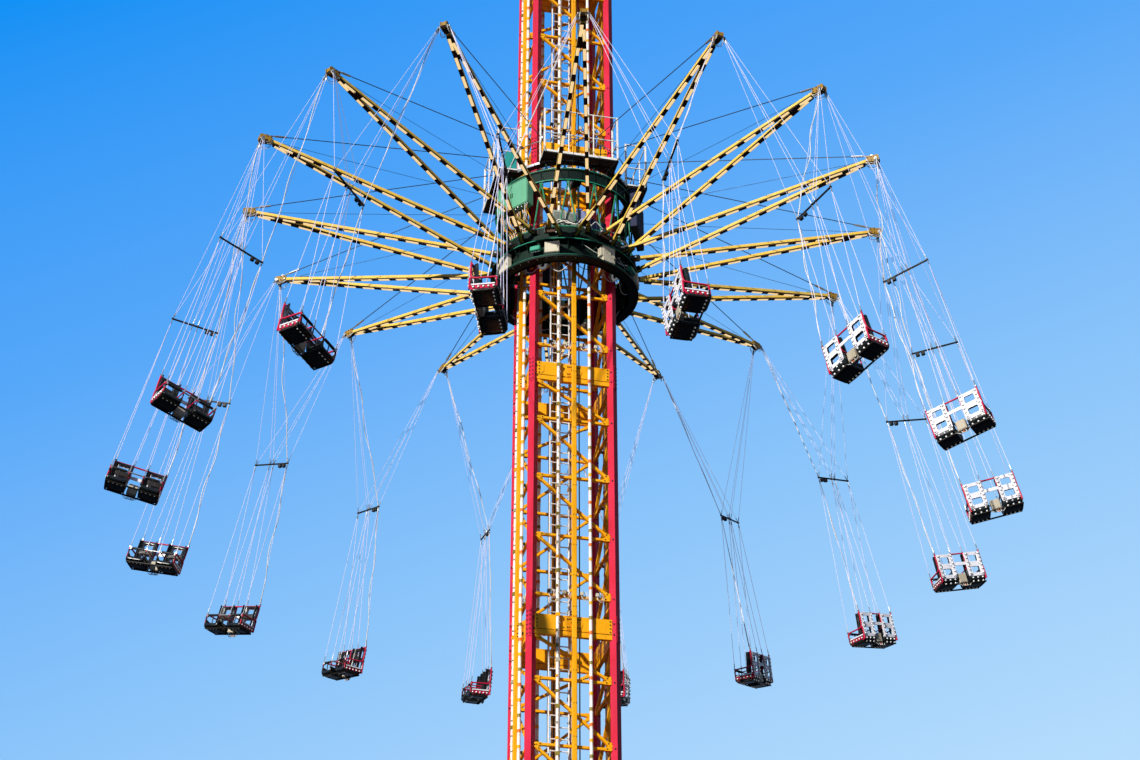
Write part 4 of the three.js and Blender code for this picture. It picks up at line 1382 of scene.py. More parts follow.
SHEATHS = (white_hose, black_rubber, black_rubber)
WALL_CABINETS = (67, 187)  # headings in degrees
HUNG_CABINET = -53
CROWN_HOSES = 16
SHELL_HOSES = 36
FLANGE_HOSES = 24
CABINET_WIRES = 30


def wall_cabinet(drums, place):
    """A dark ribbed cabinet on the crown's outside, with two doors, their handles and its lugs."""
    back = -CROWN_OUT - 0.005
    front = back - 0.175
    high = CROWN_TOP - 0.01
    # the near-black navy is partly the cabinet's paint and partly painted shade
    drums.block((-0.52, front + 0.02, CABINET_LOW), (0.52, back, high), navy_coat_and_painted_shade, 0.008, place)
    for left, right in ((-0.51, -0.005), (0.005, 0.51)):
        door = (right, front + 0.02, high - 0.02)
        drums.block((left, front + 0.008, CABINET_LOW + 0.02), door, navy_coat_and_painted_shade, 0.004, place)
        x = left + 0.04
        while x < right - 0.03:
            rib = (x + 0.028, front + 0.008, high - 0.06)
            drums.block((x, front, CABINET_LOW + 0.06), rib, navy_coat_and_painted_shade, 0.003, place)
            x += 0.056
    for x in (-0.035, 0.02):
        handle = (x + 0.015, front + 0.01, 1.34)
        drums.block((x, front - 0.004, 1.2), handle, black_steel, 0.002, place)
    lid = (0.525, back, high + 0.004)
    drums.block((-0.525, front + 0.004, high - 0.004), lid, navy_coat_and_painted_shade, 0.002, place)
    for low in (CROWN_LOW + 0.005, CROWN_TOP - CROWN_LIP + 0.005):
        bracket = (0.08, back + 0.04, low + 0.03)
        drums.block((-0.08, back - 0.02, low), bracket, hub_green, 0.002, place)


def star_ribs(drums):
    """Ribs on the crown, gussets under the shell's flange, and the bolts of both rims."""
    gusset = ((0.0, 0.0), (0.13, 0.0), (0.13, -0.02), (0.0, -0.2))
    for rib in range(2 * ARMS):
        angle = STAR_TURN + rib * ARM_STEP / 2
        crown = around(CROWN_IN + 0.036, angle, RING + CROWN_LOW + 0.04)
        high = crown + UP * (CROWN_TOP - CROWN_LOW - 0.08)
        drums.beam(crown, high, 0.012, 0.036, hub_green, 0.0, around(1, angle))
        stand = turn(angle) @ shift(SHELL_OUT - 0.01, 0, RING + FLANGE_LOW) @ STAND
        drums.put(plate(gusset, 0.012), stand, hub_green)
        for offset in (-0.25, 0.25):
            beside = angle + offset * ARM_STEP / 2
            under = around(FLANGE_OUT - 0.04, beside, RING + FLANGE_LOW + 0.03)
            drums.bolt(under, under + UP * 0.016, 0.014)
            over = around(CROWN_OUT - 0.025, beside, RING + CROWN_TOP)
            drums.bolt(over, over + UP * 0.014, 0.012)


def crown_struts(drums):
    """A V of struts under each arm's heading, from the shell's rim to a lug below the crown."""
    for apex in range(ARMS):
        angle = STAR_TURN + apex * ARM_STEP
        head = around(1.583, angle, RING + CROWN_LOW + 0.01)
        for lean in (-0.33, 0.33):
            foot = around(1.526, angle + lean * ARM_STEP, RING + SHELL_TOP - 0.01)
            drums.bar(foot, head, 0.019, strut_green, 10)
            drums.put(ball(0.028, 10, 6), Matrix.Translation(foot), strut_green)
        lug = turn(angle) @ shift(1.58, 0, RING + CROWN_LOW - 0.01) @ turn(QUARTER)
        drums.put(box(0.09, 0.03, 0.07, 0.004), lug, strut_green)


def star_drums():
    """The shell that carries the arm feet, the crown, their rims, the struts and the cabinets."""
    drums = Piece()
    up = shift(z=RING)
    low = DRUM_LOW + 0.05 + GAP
    flange = ring(SHELL_OUT - 0.01, FLANGE_OUT, FLANGE_LOW, FLANGE_LOW + 0.03, 128)
    drums.put(ring(SHELL_IN, SHELL_OUT - 0.006, low, SHELL_TOP, 128), up, hub_green)
    drums.put(flange, up, hub_green)
    # the sea-green hoops on the shell are painted highlights along its rims
    drums.put(hoop(FLANGE_OUT - 0.004, 0.012), up @ shift(z=FLANGE_LOW + 0.016), sea_green_and_rim_highlight)
    drums.put(hoop(SHELL_OUT - 0.006, 0.012), up @ shift(z=low + 0.02), sea_green_and_rim_highlight)
    drums.put(hoop(SHELL_OUT - 0.01, 0.014), up @ shift(z=SHELL_TOP - 0.004), sea_green_and_rim_highlight)
    drums.put(ring(CROWN_IN, CROWN_IN + 0.03, CROWN_LOW, CROWN_TOP, 128), up, hub_green)
    for edge in (CROWN_LOW, CROWN_TOP - CROWN_LIP):
        lip = ring(CROWN_IN + 0.02, CROWN_OUT - 0.004, edge, edge + CROWN_LIP, 128)
        drums.put(lip, up, hub_green)
    # the sea-green edge rings on the crown are painted highlights
    for edge, top in ((CROWN_LOW, CROWN_LOW + 0.022), (CROWN_TOP - 0.014, CROWN_TOP)):
        drums.put(ring(CROWN_OUT - 0.012, CROWN_OUT, edge, top, 128), up, sea_green_and_rim_highlight)
    star_ribs(drums)
    crown_struts(drums)
    for angle in WALL_CABINETS:
        wall_cabinet(drums, up @ turn(math.radians(angle)))
    random.seed(19)
    for _ in range(CROWN_HOSES):
        start = random.uniform(0, FULL)
        span = random.uniform(0.2, 0.55)
        points = []
        for step in range(7):
            height = CROWN_TOP + 0.02 + random.uniform(0.0, 0.05) * math.sin(step / 6 * math.pi)
            out = random.uniform(1.57, 1.61)
            points.append(around(out, start + span * step / 6, RING + height))
        drums.put(hose(points, 0.009), Matrix(), random.choice(SHEATHS))
    show(drums.mesh("star_drums"), "star", ["star_cage"])


def hung_cabinet():
    """The mint cabinet outside the struts: a box with two doors, a drip lip, and wires beneath."""
    made = Piece()
    place = shift(z=RING) @ turn(math.radians(HUNG_CABINET))
    back = -CROWN_OUT - GAP
    top = CROWN_LOW + 0.03
    low = top - 0.7
    front = back - 0.218
    made.block((-0.46, front, low), (0.46, back, top), mint, 0.01, place)
    for left, right in ((-0.445, -0.005), (0.005, 0.445)):
        made.block((left, front - 0.01, low + 0.02), (right, front, top - 0.02), mint, 0.006, place)
    for x in (-0.035, 0.02):
        handle = (x + 0.015, front - 0.01, low + 0.42)
        made.block((x, front - 0.024, low + 0.3), handle, black_steel, 0.002, place)
    made.block((-0.47, front - 0.012, top - 0.004), (0.47, back, top + 0.008), mint, 0.002, place)
    for at in (-0.06, 0.06):
        lug = (at + 0.025, back, top + 0.12)
        made.block((at - 0.025, back - 0.02, top - 0.05), lug, hub_green, 0.002, place)
    random.seed(11)
    for number in range(CABINET_WIRES):
        x = -0.43 + number * 0.03
        y = back - random.uniform(0.05, 0.2)
        drop = random.uniform(0.18, 0.42)
        points = [
            (x, y, low + 0.005),
            (x + random.uniform(-0.03, 0.03), y, low - drop * 0.4),
            (x + random.uniform(-0.08, 0.08), y + 0.06, low - drop),
            (x * 0.7, back + 0.07, SHELL_TOP + 0.14),
            (x * 0.7, back + 0.09, SHELL_TOP),
        ]
        made.put(hose(points, 0.009), place, (white_hose, golden, black_rubber)[number % 3])
        made.put(rod(0.014, 0.03, 8), place @ shift(x, y, low - 0.028), zinc)
    show(made.mesh("hung_cabinet"), "star", ["cabinet_green"])


def control_box(made, heading, half, low, high, finish):
    """One box on brackets on the shell's outside, its cover, hinge and glands."""
    place = turn(math.radians(heading) + QUARTER) @ shift(z=RING)
    out = -SHELL_OUT - 0.02
    made.block((-half, out - 0.13, low), (half, out - 0.02, high), finish, 0.008, place)
    cover = (half - 0.01, out - 0.13, high - 0.01)
    made.block((-half + 0.01, out - 0.138, low + 0.01), cover, finish, 0.004, place)
    for x in (-half * 0.6, half * 0.6):
        bracket = (x + 0.02, out + 0.03, high - 0.04)
        made.block((x - 0.02, out - 0.02, low + 0.04), bracket, black_steel, 0.0, place)
    hinge = (half - 0.025, out - 0.138, low + 0.16)
    made.block((half - 0.04, out - 0.146, low + 0.1), hinge, black_steel, 0.0, place)
    for number in range(5):
        x = -half * 0.7 + number * half * 0.35
        made.put(rod(0.014, 0.03, 8), place @ shift(x, out - 0.08, low - 0.028), zinc)


# Heading in degrees, half width, lower and upper edge, finish, repeated each quarter turn
CONTROL_BOXES = (
    (-112, 0.165, -0.54, -0.25, cream_coat),
    (-69, 0.16, -0.51, -0.29, cream_coat),
    (-156.5, 0.17, -0.62, -0.2, cream_coat),
    (-125.5, 0.12, -0.42, -0.3, sea_green_and_rim_highlight),
)


def shell_boxes():
    """Control boxes under the rim with their brackets, and the hoses and wires along the shell."""
    made = Piece()
    for number in range(4):
        for heading, half, low, high, finish in CONTROL_BOXES:
            control_box(made, heading + 90 * number, half, low, high, finish)
    random.seed(3)
    for _ in range(SHELL_HOSES):
        start = random.uniform(0, FULL)
        radius = random.uniform(1.535, 1.6)
        span = random.uniform(0.2, 0.6)
        points = []
        for step in range(7):
            height = SHELL_TOP + 0.03 + random.uniform(0.0, 0.2) * math.sin(step / 6 * math.pi)
            out = radius + random.uniform(-0.02, 0.03)
            points.append(around(out, start + span * step / 6, RING + height))
        thick = random.choice((0.008, 0.011, 0.014))
        made.put(hose(points, thick), Matrix(), random.choice(SHEATHS))
    for _ in range(FLANGE_HOSES):
        start = random.uniform(0, FULL)
        points = []
        for step in range(6):
            drop = 0.16 * math.sin(step / 5 * math.pi)
            out = SHELL_OUT + 0.03 + 0.02 * (step % 2)
            points.append(around(out, start + 0.09 * step, RING + FLANGE_LOW - 0.05 - drop))
        made.put(hose(points, 0.008), Matrix(), random.choice((white_hose, black_rubber)))
    show(made.mesh("shell_boxes"), "star")


def foot_lift(number):
    """Every other arm's feet stand higher, so that neighbours' tubes can cross."""
    return 0.0 if number % 2 == 0 else FOOT_LIFT


def arm_tube(number, piece, side):
    """One tube of an arm with its foot, and the lamp rail beneath it."""
    lift = foot_lift(number)
    foot = around(FOOT_RADIUS, side * FOOT_SPREAD, lift)
    tip = Vector((ARM_END, 0, TIP_RISE))
    piece.beam(foot, tip, ARM_TUBE, ARM_TUBE, arm_yellow, 0.009)
    length = (tip - foot).length
    place = along(foot, tip)
    rail = -ARM_TUBE / 2
    end = length - 0.24
    piece.block((-0.042, rail - 0.03, 0.35), (0.042, rail, end), umber, 0.003, place)
    at = 0.42 + (0.12 if side < 0 else 0.0)
    while at + LAMP_LONG < end:
        corner = (0.033, rail - 0.012, at + LAMP_LONG)
        piece.block((-0.033, rail - 0.037, at), corner, lamp_cover, 0.006, place)
        at += LAMP_STEP
    flat = SHELL_OUT * math.cos(math.pi / (2 * ARMS)) + GAP
    seat = turn(side * FOOT_SPREAD)
    corner = (flat + 0.02, 0.095, lift + 0.09)
    piece.block((flat, -0.095, lift - 0.06), corner, black_steel, 0.003, seat)
    heading = Vector((tip.x - foot.x, tip.y - foot.y, 0)).normalized()
    across = Vector((-heading.y, heading.x, 0))
    way = (tip - foot).normalized()
    for cheek in (-1, 1):
        start = foot + across * cheek * (ARM_TUBE / 2 + 0.008) - heading * 0.02
        piece.beam(start, start + way * 0.22, 0.014, 0.12, black_steel, 0.003)
    pin = foot + way * 0.09
    piece.bar(pin - across * 0.085, pin + across * 0.085, 0.026, zinc, 14)
    for y in (-0.07, 0.07):
        for z in (-0.035, 0.065):
            start = seat @ Vector((flat + 0.02, y, lift + z))
            piece.bolt(start, start + seat.to_3x3() @ Vector((0.016, 0, 0)), 0.014)


def arm_tip(piece):
    """The bracket that joins an arm's tubes and takes the pins of two chairs."""
    inner = ARM_REACH - 0.25
    outer = ARM_REACH + 0.05
    low = TIP_RISE - 0.11
    high = TIP_RISE + 0.06
    cheek = (
        (inner, 0.0),
        (inner, -0.075),
        (inner + 0.09, -0.1),
        (outer - 0.1, -0.11),
        (outer, -0.08),
        (outer, 0.03),
        (outer - 0.04, 0.06),
        (inner + 0.03, 0.05),
    )
    bolts = (
        (inner + 0.04, -0.05),
        (inner + 0.04, 0.02),
        (inner + 0.13, -0.07),
        (inner + 0.13, 0.03),
    )
    for side in (-1, 1):
        stand = shift(0, side * 0.063, TIP_RISE) @ STAND
        piece.put(plate(cheek, 0.014, 0.002), stand, tip_enamel)
        boss = shift(ARM_REACH, side * 0.056, TIP_RISE - PIVOT_DROP)
        turned_out = Matrix.Rotation(-side * QUARTER, 4, "X")
        piece.put(ring(0.018, 0.045, 0.0, 0.012, 16), boss @ turned_out, zinc)
        for x, z in bolts:
            start = Vector((x, side * 0.07, TIP_RISE + z))
            piece.bolt(start, start + Vector((0, side * 0.014, 0)), 0.013)
    cover = (outer - 0.05, 0.05, high - 0.004)
    nose = (outer - 0.008, 0.05, high - 0.04)
    spacer = (inner + 0.17, 0.05, low + 0.04)
    piece.block((inner + 0.03, -0.05, high - 0.016), cover, tip_enamel, 0.003)
    piece.block((outer - 0.02, -0.05, low + 0.04), nose, tip_enamel, 0.003)
    piece.block((inner + 0.04, -0.05, low + 0.012), spacer, black_steel, 0.004)
    for x in (inner + 0.03, outer - 0.05):
        piece.bar((x, -0.09, TIP_RISE - 0.06), (x, 0.09, TIP_RISE - 0.06), 0.014, zinc, 10)
    lug = ((-0.05, 0.0), (0.05, 0.0), (0.025, 0.07), (-0.025, 0.07))
    stand = shift(ARM_REACH - 0.12, 0, high - 0.006) @ STAND
    piece.put(plate(lug, 0.02, 0.002), stand, zinc)
    for side, reach in ((-1, 0.13), (1, 0.1), (-1, 0.07), (1, 0.05)):
        y = side * 0.075
        points = [
            (outer - 0.02, y, low + 0.05),
            (outer - 0.06, y + side * 0.02, low - reach * 0.6),
            (outer - 0.16, y + side * 0.03, low - reach),
            (outer - 0.27, y + side * 0.01, low - reach * 0.5),
            (outer - 0.31, y * 0.6, low + 0.03),
        ]
        piece.put(hose(points, 0.006), Matrix(), white_hose)


GUSSET_IN = 6.52
GUSSET_OUT = 6.78


def arm_gusset(piece):
    """The dark flat plate that ties the two tubes together, short of the tip, with its bolts."""
    middle = (GUSSET_IN + GUSSET_OUT) / 2
    slope = math.atan2(TIP_RISE, ARM_END - FOOT_RADIUS)
    level = TIP_RISE * (middle - FOOT_RADIUS) / (ARM_END - FOOT_RADIUS)
    taper = FOOT_RADIUS * math.sin(FOOT_SPREAD) / (ARM_END - FOOT_RADIUS * math.cos(FOOT_SPREAD))
    reach = (GUSSET_OUT - GUSSET_IN) / 2
    half_in = (ARM_END - GUSSET_IN) * taper + 0.035
    half_out = (ARM_END - GUSSET_OUT) * taper + 0.035
    outline = ((-reach, -half_in), (reach, -half_out), (reach, half_out), (-reach, half_in))
    place = shift(middle, 0, level) @ Matrix.Rotation(-slope, 4, "Y")
    for z in (-0.051, 0.051):
        piece.put(plate(outline, 0.01, 0.002), place @ shift(z=z), umber)
    for step in range(2):
        x = -reach + 0.05 + step * 0.14
        y = half_in + (half_out - half_in) * (x + reach) / (2 * reach) - 0.035
        for side in (-1, 1):
            for z in (-1, 1):
                at = place @ Vector((x, side * y, z * 0.056))
                piece.bolt(at, at + UP * (z * 0.014), 0.012)
    ends = [place @ Vector((-reach, side * half_in, 0)) for side in (-1, 1)]
    piece.beam(*ends, 0.08, 0.012, umber)


def arm(number):
    """One V arm that points along its own angle, with its feet, lamp rails, gusset and tip."""
    piece = Piece()
    for side in (-1, 1):
        arm_tube(number, piece, side)
    arm_tip(piece)
    arm_gusset(piece)
    return piece.mesh("arm")


def arm_pairs():
    """Two neighbouring arms at a time, tied by a bar at their feet."""
    shapes = [arm(0), arm(1)]
    for pair in range(ARMS // 2):
        made = Piece()
        for part in range(2):
            angle = STAR_TURN + (2 * pair + part) * ARM_STEP
            made.add(shapes[part], turn(angle) @ shift(z=RING))
        level = RING + FOOT_LIFT / 2 + 0.015
        radius = FOOT_RADIUS + 0.052
        start = around(radius, STAR_TURN + (2 * pair + 1) * ARM_STEP - FOOT_SPREAD, level)
        end = around(radius, STAR_TURN + 2 * pair * ARM_STEP + FOOT_SPREAD, level)
        made.beam(start, end, 0.06, 0.12, umber, 0.008)
        show(made.mesh(f"arms_{pair + 1}"), "star", [f"arm_pair_{pair + 1}"])


def stays():
    """The stay ring on its posts, the stays to the arm tips with turnbuckles, and feed cables."""
    made = Piece()
    up = shift(z=RING)
    made.put(hoop(STAY_RING, 0.013), up @ shift(z=STAY_HEIGHT), zinc)
    for post in range(STAY_POSTS):
        angle = (post + 0.5) * FULL / STAY_POSTS
        foot = around(STAY_RING, angle, RING + DECK_TOP + GAP)
        made.bar(foot, around(STAY_RING, angle, RING + STAY_HEIGHT), 0.013, hub_green, 12)
        made.beam(foot, foot + UP * 0.014, 0.1, 0.07, hub_green, 0.003, around(1, angle))
    for number in range(ARMS):
        angle = STAR_TURN + number * ARM_STEP
        inner = around(STAY_RING + 0.02, angle, RING + STAY_HEIGHT)
        outer = around(ARM_REACH - 0.12, angle, RING + TIP_RISE + 0.085)
        way = (outer - inner).normalized()
        made.bar(inner, outer, 0.01, stay_rope, 8)
        made.bar(inner, inner + way * 0.14, 0.024, zinc, 10)
        made.bar(outer - way * 0.46, outer - way * 0.2, 0.024, zinc, 10)
        made.bar(outer - way * 0.2, outer, 0.015, zinc, 8)
        lug = turn(angle) @ shift(STAY_RING + 0.02, 0, RING + STAY_HEIGHT)
        made.put(box(0.07, 0.02, 0.06, 0.004), lug, strut_green)
        feed_in = around(CROWN_OUT + 0.002, angle + 0.05, RING + CROWN_LOW + 0.05)
        feed_out = around(ARM_REACH - 0.45, angle, RING + TIP_RISE - 0.02)
        middle = (feed_in + feed_out) / 2 - UP * 0.03
        made.put(hose([feed_in, middle, feed_out], 0.006, 0, 6), Matrix(), dark_rope)
    show(made.mesh("stay_ropes"), "star", ["star_stays"])


# Chairs

def back_panel():
    """A white back panel with two rounded openings, upright in its own X and Z."""
    wide = SEAT_WIDE - 0.004
    high = 0.57
    bm = bmesh.new()
    columns = (-wide / 2, -0.108, 0.108, wide / 2)
    rows = (0.0, 0.075, 0.225, 0.345, 0.495, high)
    grid = [[bm.verts.new((x, 0, z)) for x in columns] for z in rows]
    for row in range(len(rows) - 1):
        for column in range(len(columns) - 1):
            if column == 1 and row in (1, 3):
                continue
            a = grid[row]
            b = grid[row + 1]
            bm.faces.new((a[column], a[column + 1], b[column + 1], b[column]))
    corners = [grid[r][c] for r in (1, 2, 3, 4) for c in (1, 2)]
    corners += [grid[0][0], grid[0][3], grid[5][0], grid[5][3]]
    bmesh.ops.bevel(
        bm, geom=corners, offset=0.03, segments=4, affect="VERTICES", profile=0.5, material=-1
    )
    bmesh.ops.recalc_face_normals(bm, faces=bm.faces)
    bmesh.ops.solidify(bm, geom=bm.faces[:], thickness=0.012)
    return shaped(bm)


def sheet(line, across, curl, thick, holes=()):
    """A moulded sheet: a line of (y, z, slope) drawn across, its edges curled in, made thick.

    The slope is where the sheet's inner side looks, from 0 along Y to a quarter turn up Z."""
    bm = bmesh.new()
    columns = len(across) - 1
    rows = len(line) - 1
    made = bmesh.ops.create_grid(bm, x_segments=columns, y_segments=rows, size=0.5)["verts"]
    cells = {}
    for vertex in made:
        column = round((vertex.co.x + 0.5) * columns)
        row = round((vertex.co.y + 0.5) * rows)
        cells[vertex] = (column, row)
    gone = []
    for face in bm.faces:
        column = min(cells[vertex][0] for vertex in face.verts)
        row = min(cells[vertex][1] for vertex in face.verts)
        if (column, row) in holes:
            gone.append(face)
    for vertex, (column, row) in cells.items():
        y, z, slope = line[row]
        slope = math.radians(slope)
        y += curl[column] * math.cos(slope)
        z += curl[column] * math.sin(slope)
        vertex.co = Vector((across[column], y, z))
    bmesh.ops.delete(bm, geom=gone, context="FACES")
    bmesh.ops.recalc_face_normals(bm, faces=bm.faces)
    bmesh.ops.solidify(bm, geom=bm.faces[:], thickness=thick)
    bmesh.ops.subdivide_edges(bm, edges=bm.edges[:], cuts=1, use_grid_fill=True, smooth=0.4)
    return shaped(bm)


def bucket():
    """The inner shell of a seat: lip, pan and back, with the back's two openings through it."""
    lip = ((0.222, -0.06, 120), (0.216, -0.02, 110), (0.195, 0.0, 90))
    pan = ((0.1, -0.014, 90), (0.0, -0.024, 90), (-0.1, -0.024, 90), (-0.165, 0.0, 60))
    back = ((-0.2, 0.05, 20), (-0.21, 0.11, 5), (-0.221, 0.265, 5), (-0.231, 0.38, 5))
    top = ((-0.243, 0.535, 5), (-0.25, 0.585, 5))
    across = (-0.2, -0.19, -0.155, -0.112, 0.0, 0.112, 0.155, 0.19, 0.2)
    curl = (0.09, 0.03, 0.006, 0.0, 0.0, 0.0, 0.006, 0.03, 0.09)
    holes = [(column, row) for column in (3, 4) for row in (8, 10)]
    return sheet((*lip, *pan, *back, *top), across, curl, 0.012, holes)


def underside():
    """The curved tub under a seat, from the back's foot round to the front lip."""
    heel = ((-0.268, 0.06, 0), (-0.272, 0.0, 0), (-0.264, -0.045, 15), (-0.24, -0.08, 45))
    floor_line = ((-0.195, -0.1, 75), (-0.1, -0.108, 90), (0.03, -0.104, 90), (0.15, -0.092, 95))
    lip = ((0.21, -0.075, 110), (0.232, -0.05, 130))
    across = (-0.198, -0.198, -0.18, -0.09, 0.0, 0.09, 0.18, 0.198, 0.198)
    curl = (0.075, 0.035, 0.008, 0.0, 0.0, 0.0, 0.008, 0.035, 0.075)
    return sheet((*heel, *floor_line, *lip), across, curl, 0.01)


def pad(wide, deep, high, channels):
    """A crowned cushion that pulls in between its corners, with sewn channels across it."""
    bm = bmesh.new()
    bmesh.ops.create_cube(bm, size=1, matrix=Matrix.Diagonal((wide, deep, high, 1)))
    bmesh.ops.subdivide_edges(bm, edges=bm.edges[:], cuts=11, use_grid_fill=True)
    for vertex in bm.verts:
        u = vertex.co.x / (wide / 2)
        v = vertex.co.y / (deep / 2)
        w = vertex.co.z / (high / 2)
        crown = (1 - u ** 4) * (1 - v ** 4)
        seam = 0.25 * max(0.0, math.cos(v * math.pi * channels)) ** 6 if abs(v) < 0.95 else 0.0
        vertex.co.z *= 0.45 + 0.55 * crown - seam * (abs(w) > 0.99)
        vertex.co.x *= 1 - 0.04 * (1 - v * v) * abs(u) - 0.03 * w * w
        vertex.co.y *= 1 - 0.04 * (1 - u * u) * abs(v) - 0.03 * w * w
    return shaped(bm)


def bulb(piece, at, out):
    """A round lamp cap on a dark collar."""
    place = along(at, Vector(at) + Vector(out))
    piece.put(rod(BULB * 1.15, 0.008, 10), place, black_steel)
    piece.put(ball(BULB, 10, 6, 0.85), place @ shift(z=0.01), bulb_cap)


def one_seat(chair, x):
    """One seat: shell, tub, white panel with its side columns and lamps, and its edge tubes."""
    chair.put(bucket(), shift(x, 0, PAN), black_gelcoat)
    chair.put(underside(), shift(x, 0, PAN), black_gelcoat)
    lean = Matrix.Rotation(math.radians(2.5), 4, "X")
    panel = shift(x, -0.276, PAN + 0.02) @ lean
    chair.put(back_panel(), panel, white_gelcoat)
    for side in (-1, 1):
        at = side * 0.158
        column = (at + 0.03, -0.012, 0.55)
        chair.block((at - 0.03, -0.022, 0.02), column, white_gelcoat, 0.004, panel)
        for number in range(6):
            height = 0.06 + number * 0.092
            start = panel @ Vector((at, -0.022, height))
            bulb(chair, start, (0, -1, 0.05))
        for z in (0.035, 0.285, 0.53):
            start = panel @ Vector((side * 0.112, -0.012, z))
            chair.bolt(start, start + Vector((0, -0.008, 0)), 0.009)
    for y, z, out in ((-0.272, -0.02, (0, -1, -0.1)), (-0.243, -0.088, (0, -0.7, -0.75))):
        for place in (-0.12, 0.0, 0.12):
            bulb(chair, (x + place, y, PAN + z), out)
    for number in range(4):
        bulb(chair, (x - 0.135 + number * 0.09, 0.14, PAN - 0.093), (0, 0.1, -1))


def side_loop(chair, x, thick, high):
    """A bent tube from under the pan up the front, back along the arm and up the seat's back."""
    front = FRONT_AT + 0.005
    arm_top = ARM_TOP - 0.016
    under = [(x, -0.22, PAN - 0.1), (x, 0.05, PAN - 0.1), (x, front - 0.03, PAN - 0.08)]
    rise = [(x, front, PAN - 0.02), (x, front, arm_top - 0.06)]
    over = [
        (x, front - 0.01, arm_top - 0.005),
        (x, front - 0.07, arm_top),
        (x, -0.15, arm_top),
        (x, REAR_AT + 0.05, arm_top + 0.005),
        (x, REAR_AT, arm_top + 0.06),
        (x, REAR_AT, high),
    ]
    chair.put(hose(rise + over, thick, 2, 3), Matrix(), chair_red)
    chair.put(hose(under + rise, thick, 2, 3), Matrix(), black_steel)


def side_frame(chair, side):
    """The end of the chair: a tube loop, its panel, white edge strip, lamps and cable clevises."""
    x = side * SIDE_AT
    front = FRONT_AT + 0.005
    side_loop(chair, x, 0.018, BACK_TOP - 0.02)
    chair.bar((x, REAR_AT, PAN - 0.05), (x, REAR_AT, ARM_TOP), 0.018, chair_red, 10)
    panel_low = (min(x, x - side * 0.008), REAR_AT + 0.02, PAN - 0.06)
    panel_high = (max(x, x - side * 0.008), front - 0.02, PAN + 0.07)
    chair.block(panel_low, panel_high, chair_red, 0.002)
    out = x + side * 0.001
    left, right = sorted((out, out + side * 0.014))
    high = (right, front - 0.03, PAN + 0.07)
    chair.block((left, REAR_AT + 0.03, PAN + 0.04), high, white_gelcoat, 0.003)
    for number in range(5):
        y = -0.21 + number * 0.09
        bulb(chair, (x + side * 0.006, y, PAN - 0.01), (side, 0, 0))
    for y, z in ((FRONT_AT, ARM_TOP), (REAR_AT, BACK_TOP)):
        high = (x + 0.014, y + 0.018, z + 0.016)
        chair.block((x - 0.014, y - 0.018, z - 0.02), high, zinc, 0.004)
        chair.bar((x - 0.024, y, z + 0.004), (x + 0.024, y, z + 0.004), 0.008, bolt_steel, 8)


def lap_bar(chair):
    """The bar over the riders' laps, with its sleeves, its straps and the lugs at its ends."""
    y = 0.185
    z = ARM_TOP - 0.03
    cross_tube(chair, y, z, 0.015, zinc, 12)
    for x in (-SEAT_AT, SEAT_AT):
        chair.bar((x - 0.14, y, z), (x + 0.14, y, z), 0.028, black_rubber, 14)
        chair.bar((x, y, z), (x, 0.19, PAN), 0.012, black_rubber, 10)
    for x in (-SIDE_AT + 0.025, SIDE_AT - 0.025):
        high = (x + 0.014, y + 0.03, z + 0.03)
        chair.block((x - 0.014, y - 0.03, z - 0.04), high, zinc, 0.006)


def cross_tube(chair, y, z, radius, finish, sides):
    """A tube from one end of the chair to the other."""
    chair.bar((-SIDE_AT, y, z), (SIDE_AT, y, z), radius, finish, sides)


def chair_seats():
    """Two seats apart, their tubes and lap bar, the strip and box between, and the side frames."""
    chair = Piece()
    for side in (-1, 1):
        one_seat(chair, side * SEAT_AT)
        side_frame(chair, side)
        side_loop(chair, side * INNER_AT, 0.013, BACK_TOP - 0.05)
        x = side * INNER_AT
        for y, z in ((FRONT_AT, ARM_TOP), (REAR_AT, BACK_TOP - 0.03)):
            high = (x + 0.012, y + 0.015, z + 0.012)
            chair.block((x - 0.012, y - 0.015, z - 0.02), high, zinc, 0.003)
    cross_tube(chair, -0.262, PAN + 0.588, 0.017, chair_red, 12)
    cross_tube(chair, 0.16, PAN - 0.1, 0.018, black_steel, 10)
    cross_tube(chair, -0.22, PAN - 0.11, 0.018, black_steel, 10)
    chair.block((-0.155, -0.29, PAN + 0.3), (0.155, -0.274, PAN + 0.375), white_gelcoat, 0.005)
    chair.block((-0.1, -0.235, PAN - 0.1), (0.1, -0.115, PAN + 0.13), box_grey, 0.012)
    chair.block((-0.085, -0.243, PAN - 0.08), (0.085, -0.235, PAN + 0.11), box_grey, 0.004)
    for wire in range(7):
        x = -0.075 + wire * 0.025
        points = [
            (x, -0.2, PAN - 0.09),
            (x - 0.03, -0.23, PAN - 0.15),
            (x + 0.05, -0.24, PAN - 0.19),
            (x * 2.2, -0.23, PAN - 0.1),
        ]
        finish = (white_hose, black_rubber, white_hose, orange_coat)[wire % 4]
        chair.put(hose(points, 0.006, 0, 4), Matrix(), finish)
    lap_bar(chair)
    return chair.mesh("chair")


def chair_pads():
    """Four pads: one on each pan, and one on each back between its openings."""
    pads = Piece()
    for side in (-1, 1):
        x = side * SEAT_AT
        pads.put(pad(0.33, 0.32, 0.045, 2), shift(x, 0.02, PAN + 0.006), pad_vinyl)
        upright = Matrix.Rotation(math.radians(92), 4, "X")
        pads.put(pad(0.34, 0.115, 0.035, 1), shift(x, -0.203, PAN + 0.322) @ upright, pad_vinyl)
    return pads.mesh("pads")


def spreader_clamp(rig, x):
    """The clamp that holds a fan of cables on the spreader bar."""
    high = (x + 0.02, 0.02, SPREADER + 0.022)
    rig.block((x - 0.02, -0.02, SPREADER - 0.022), high, black_steel, 0.004)
    rig.bolt((x, 0, SPREADER + 0.02), (x, 0, SPREADER + 0.036), 0.01)


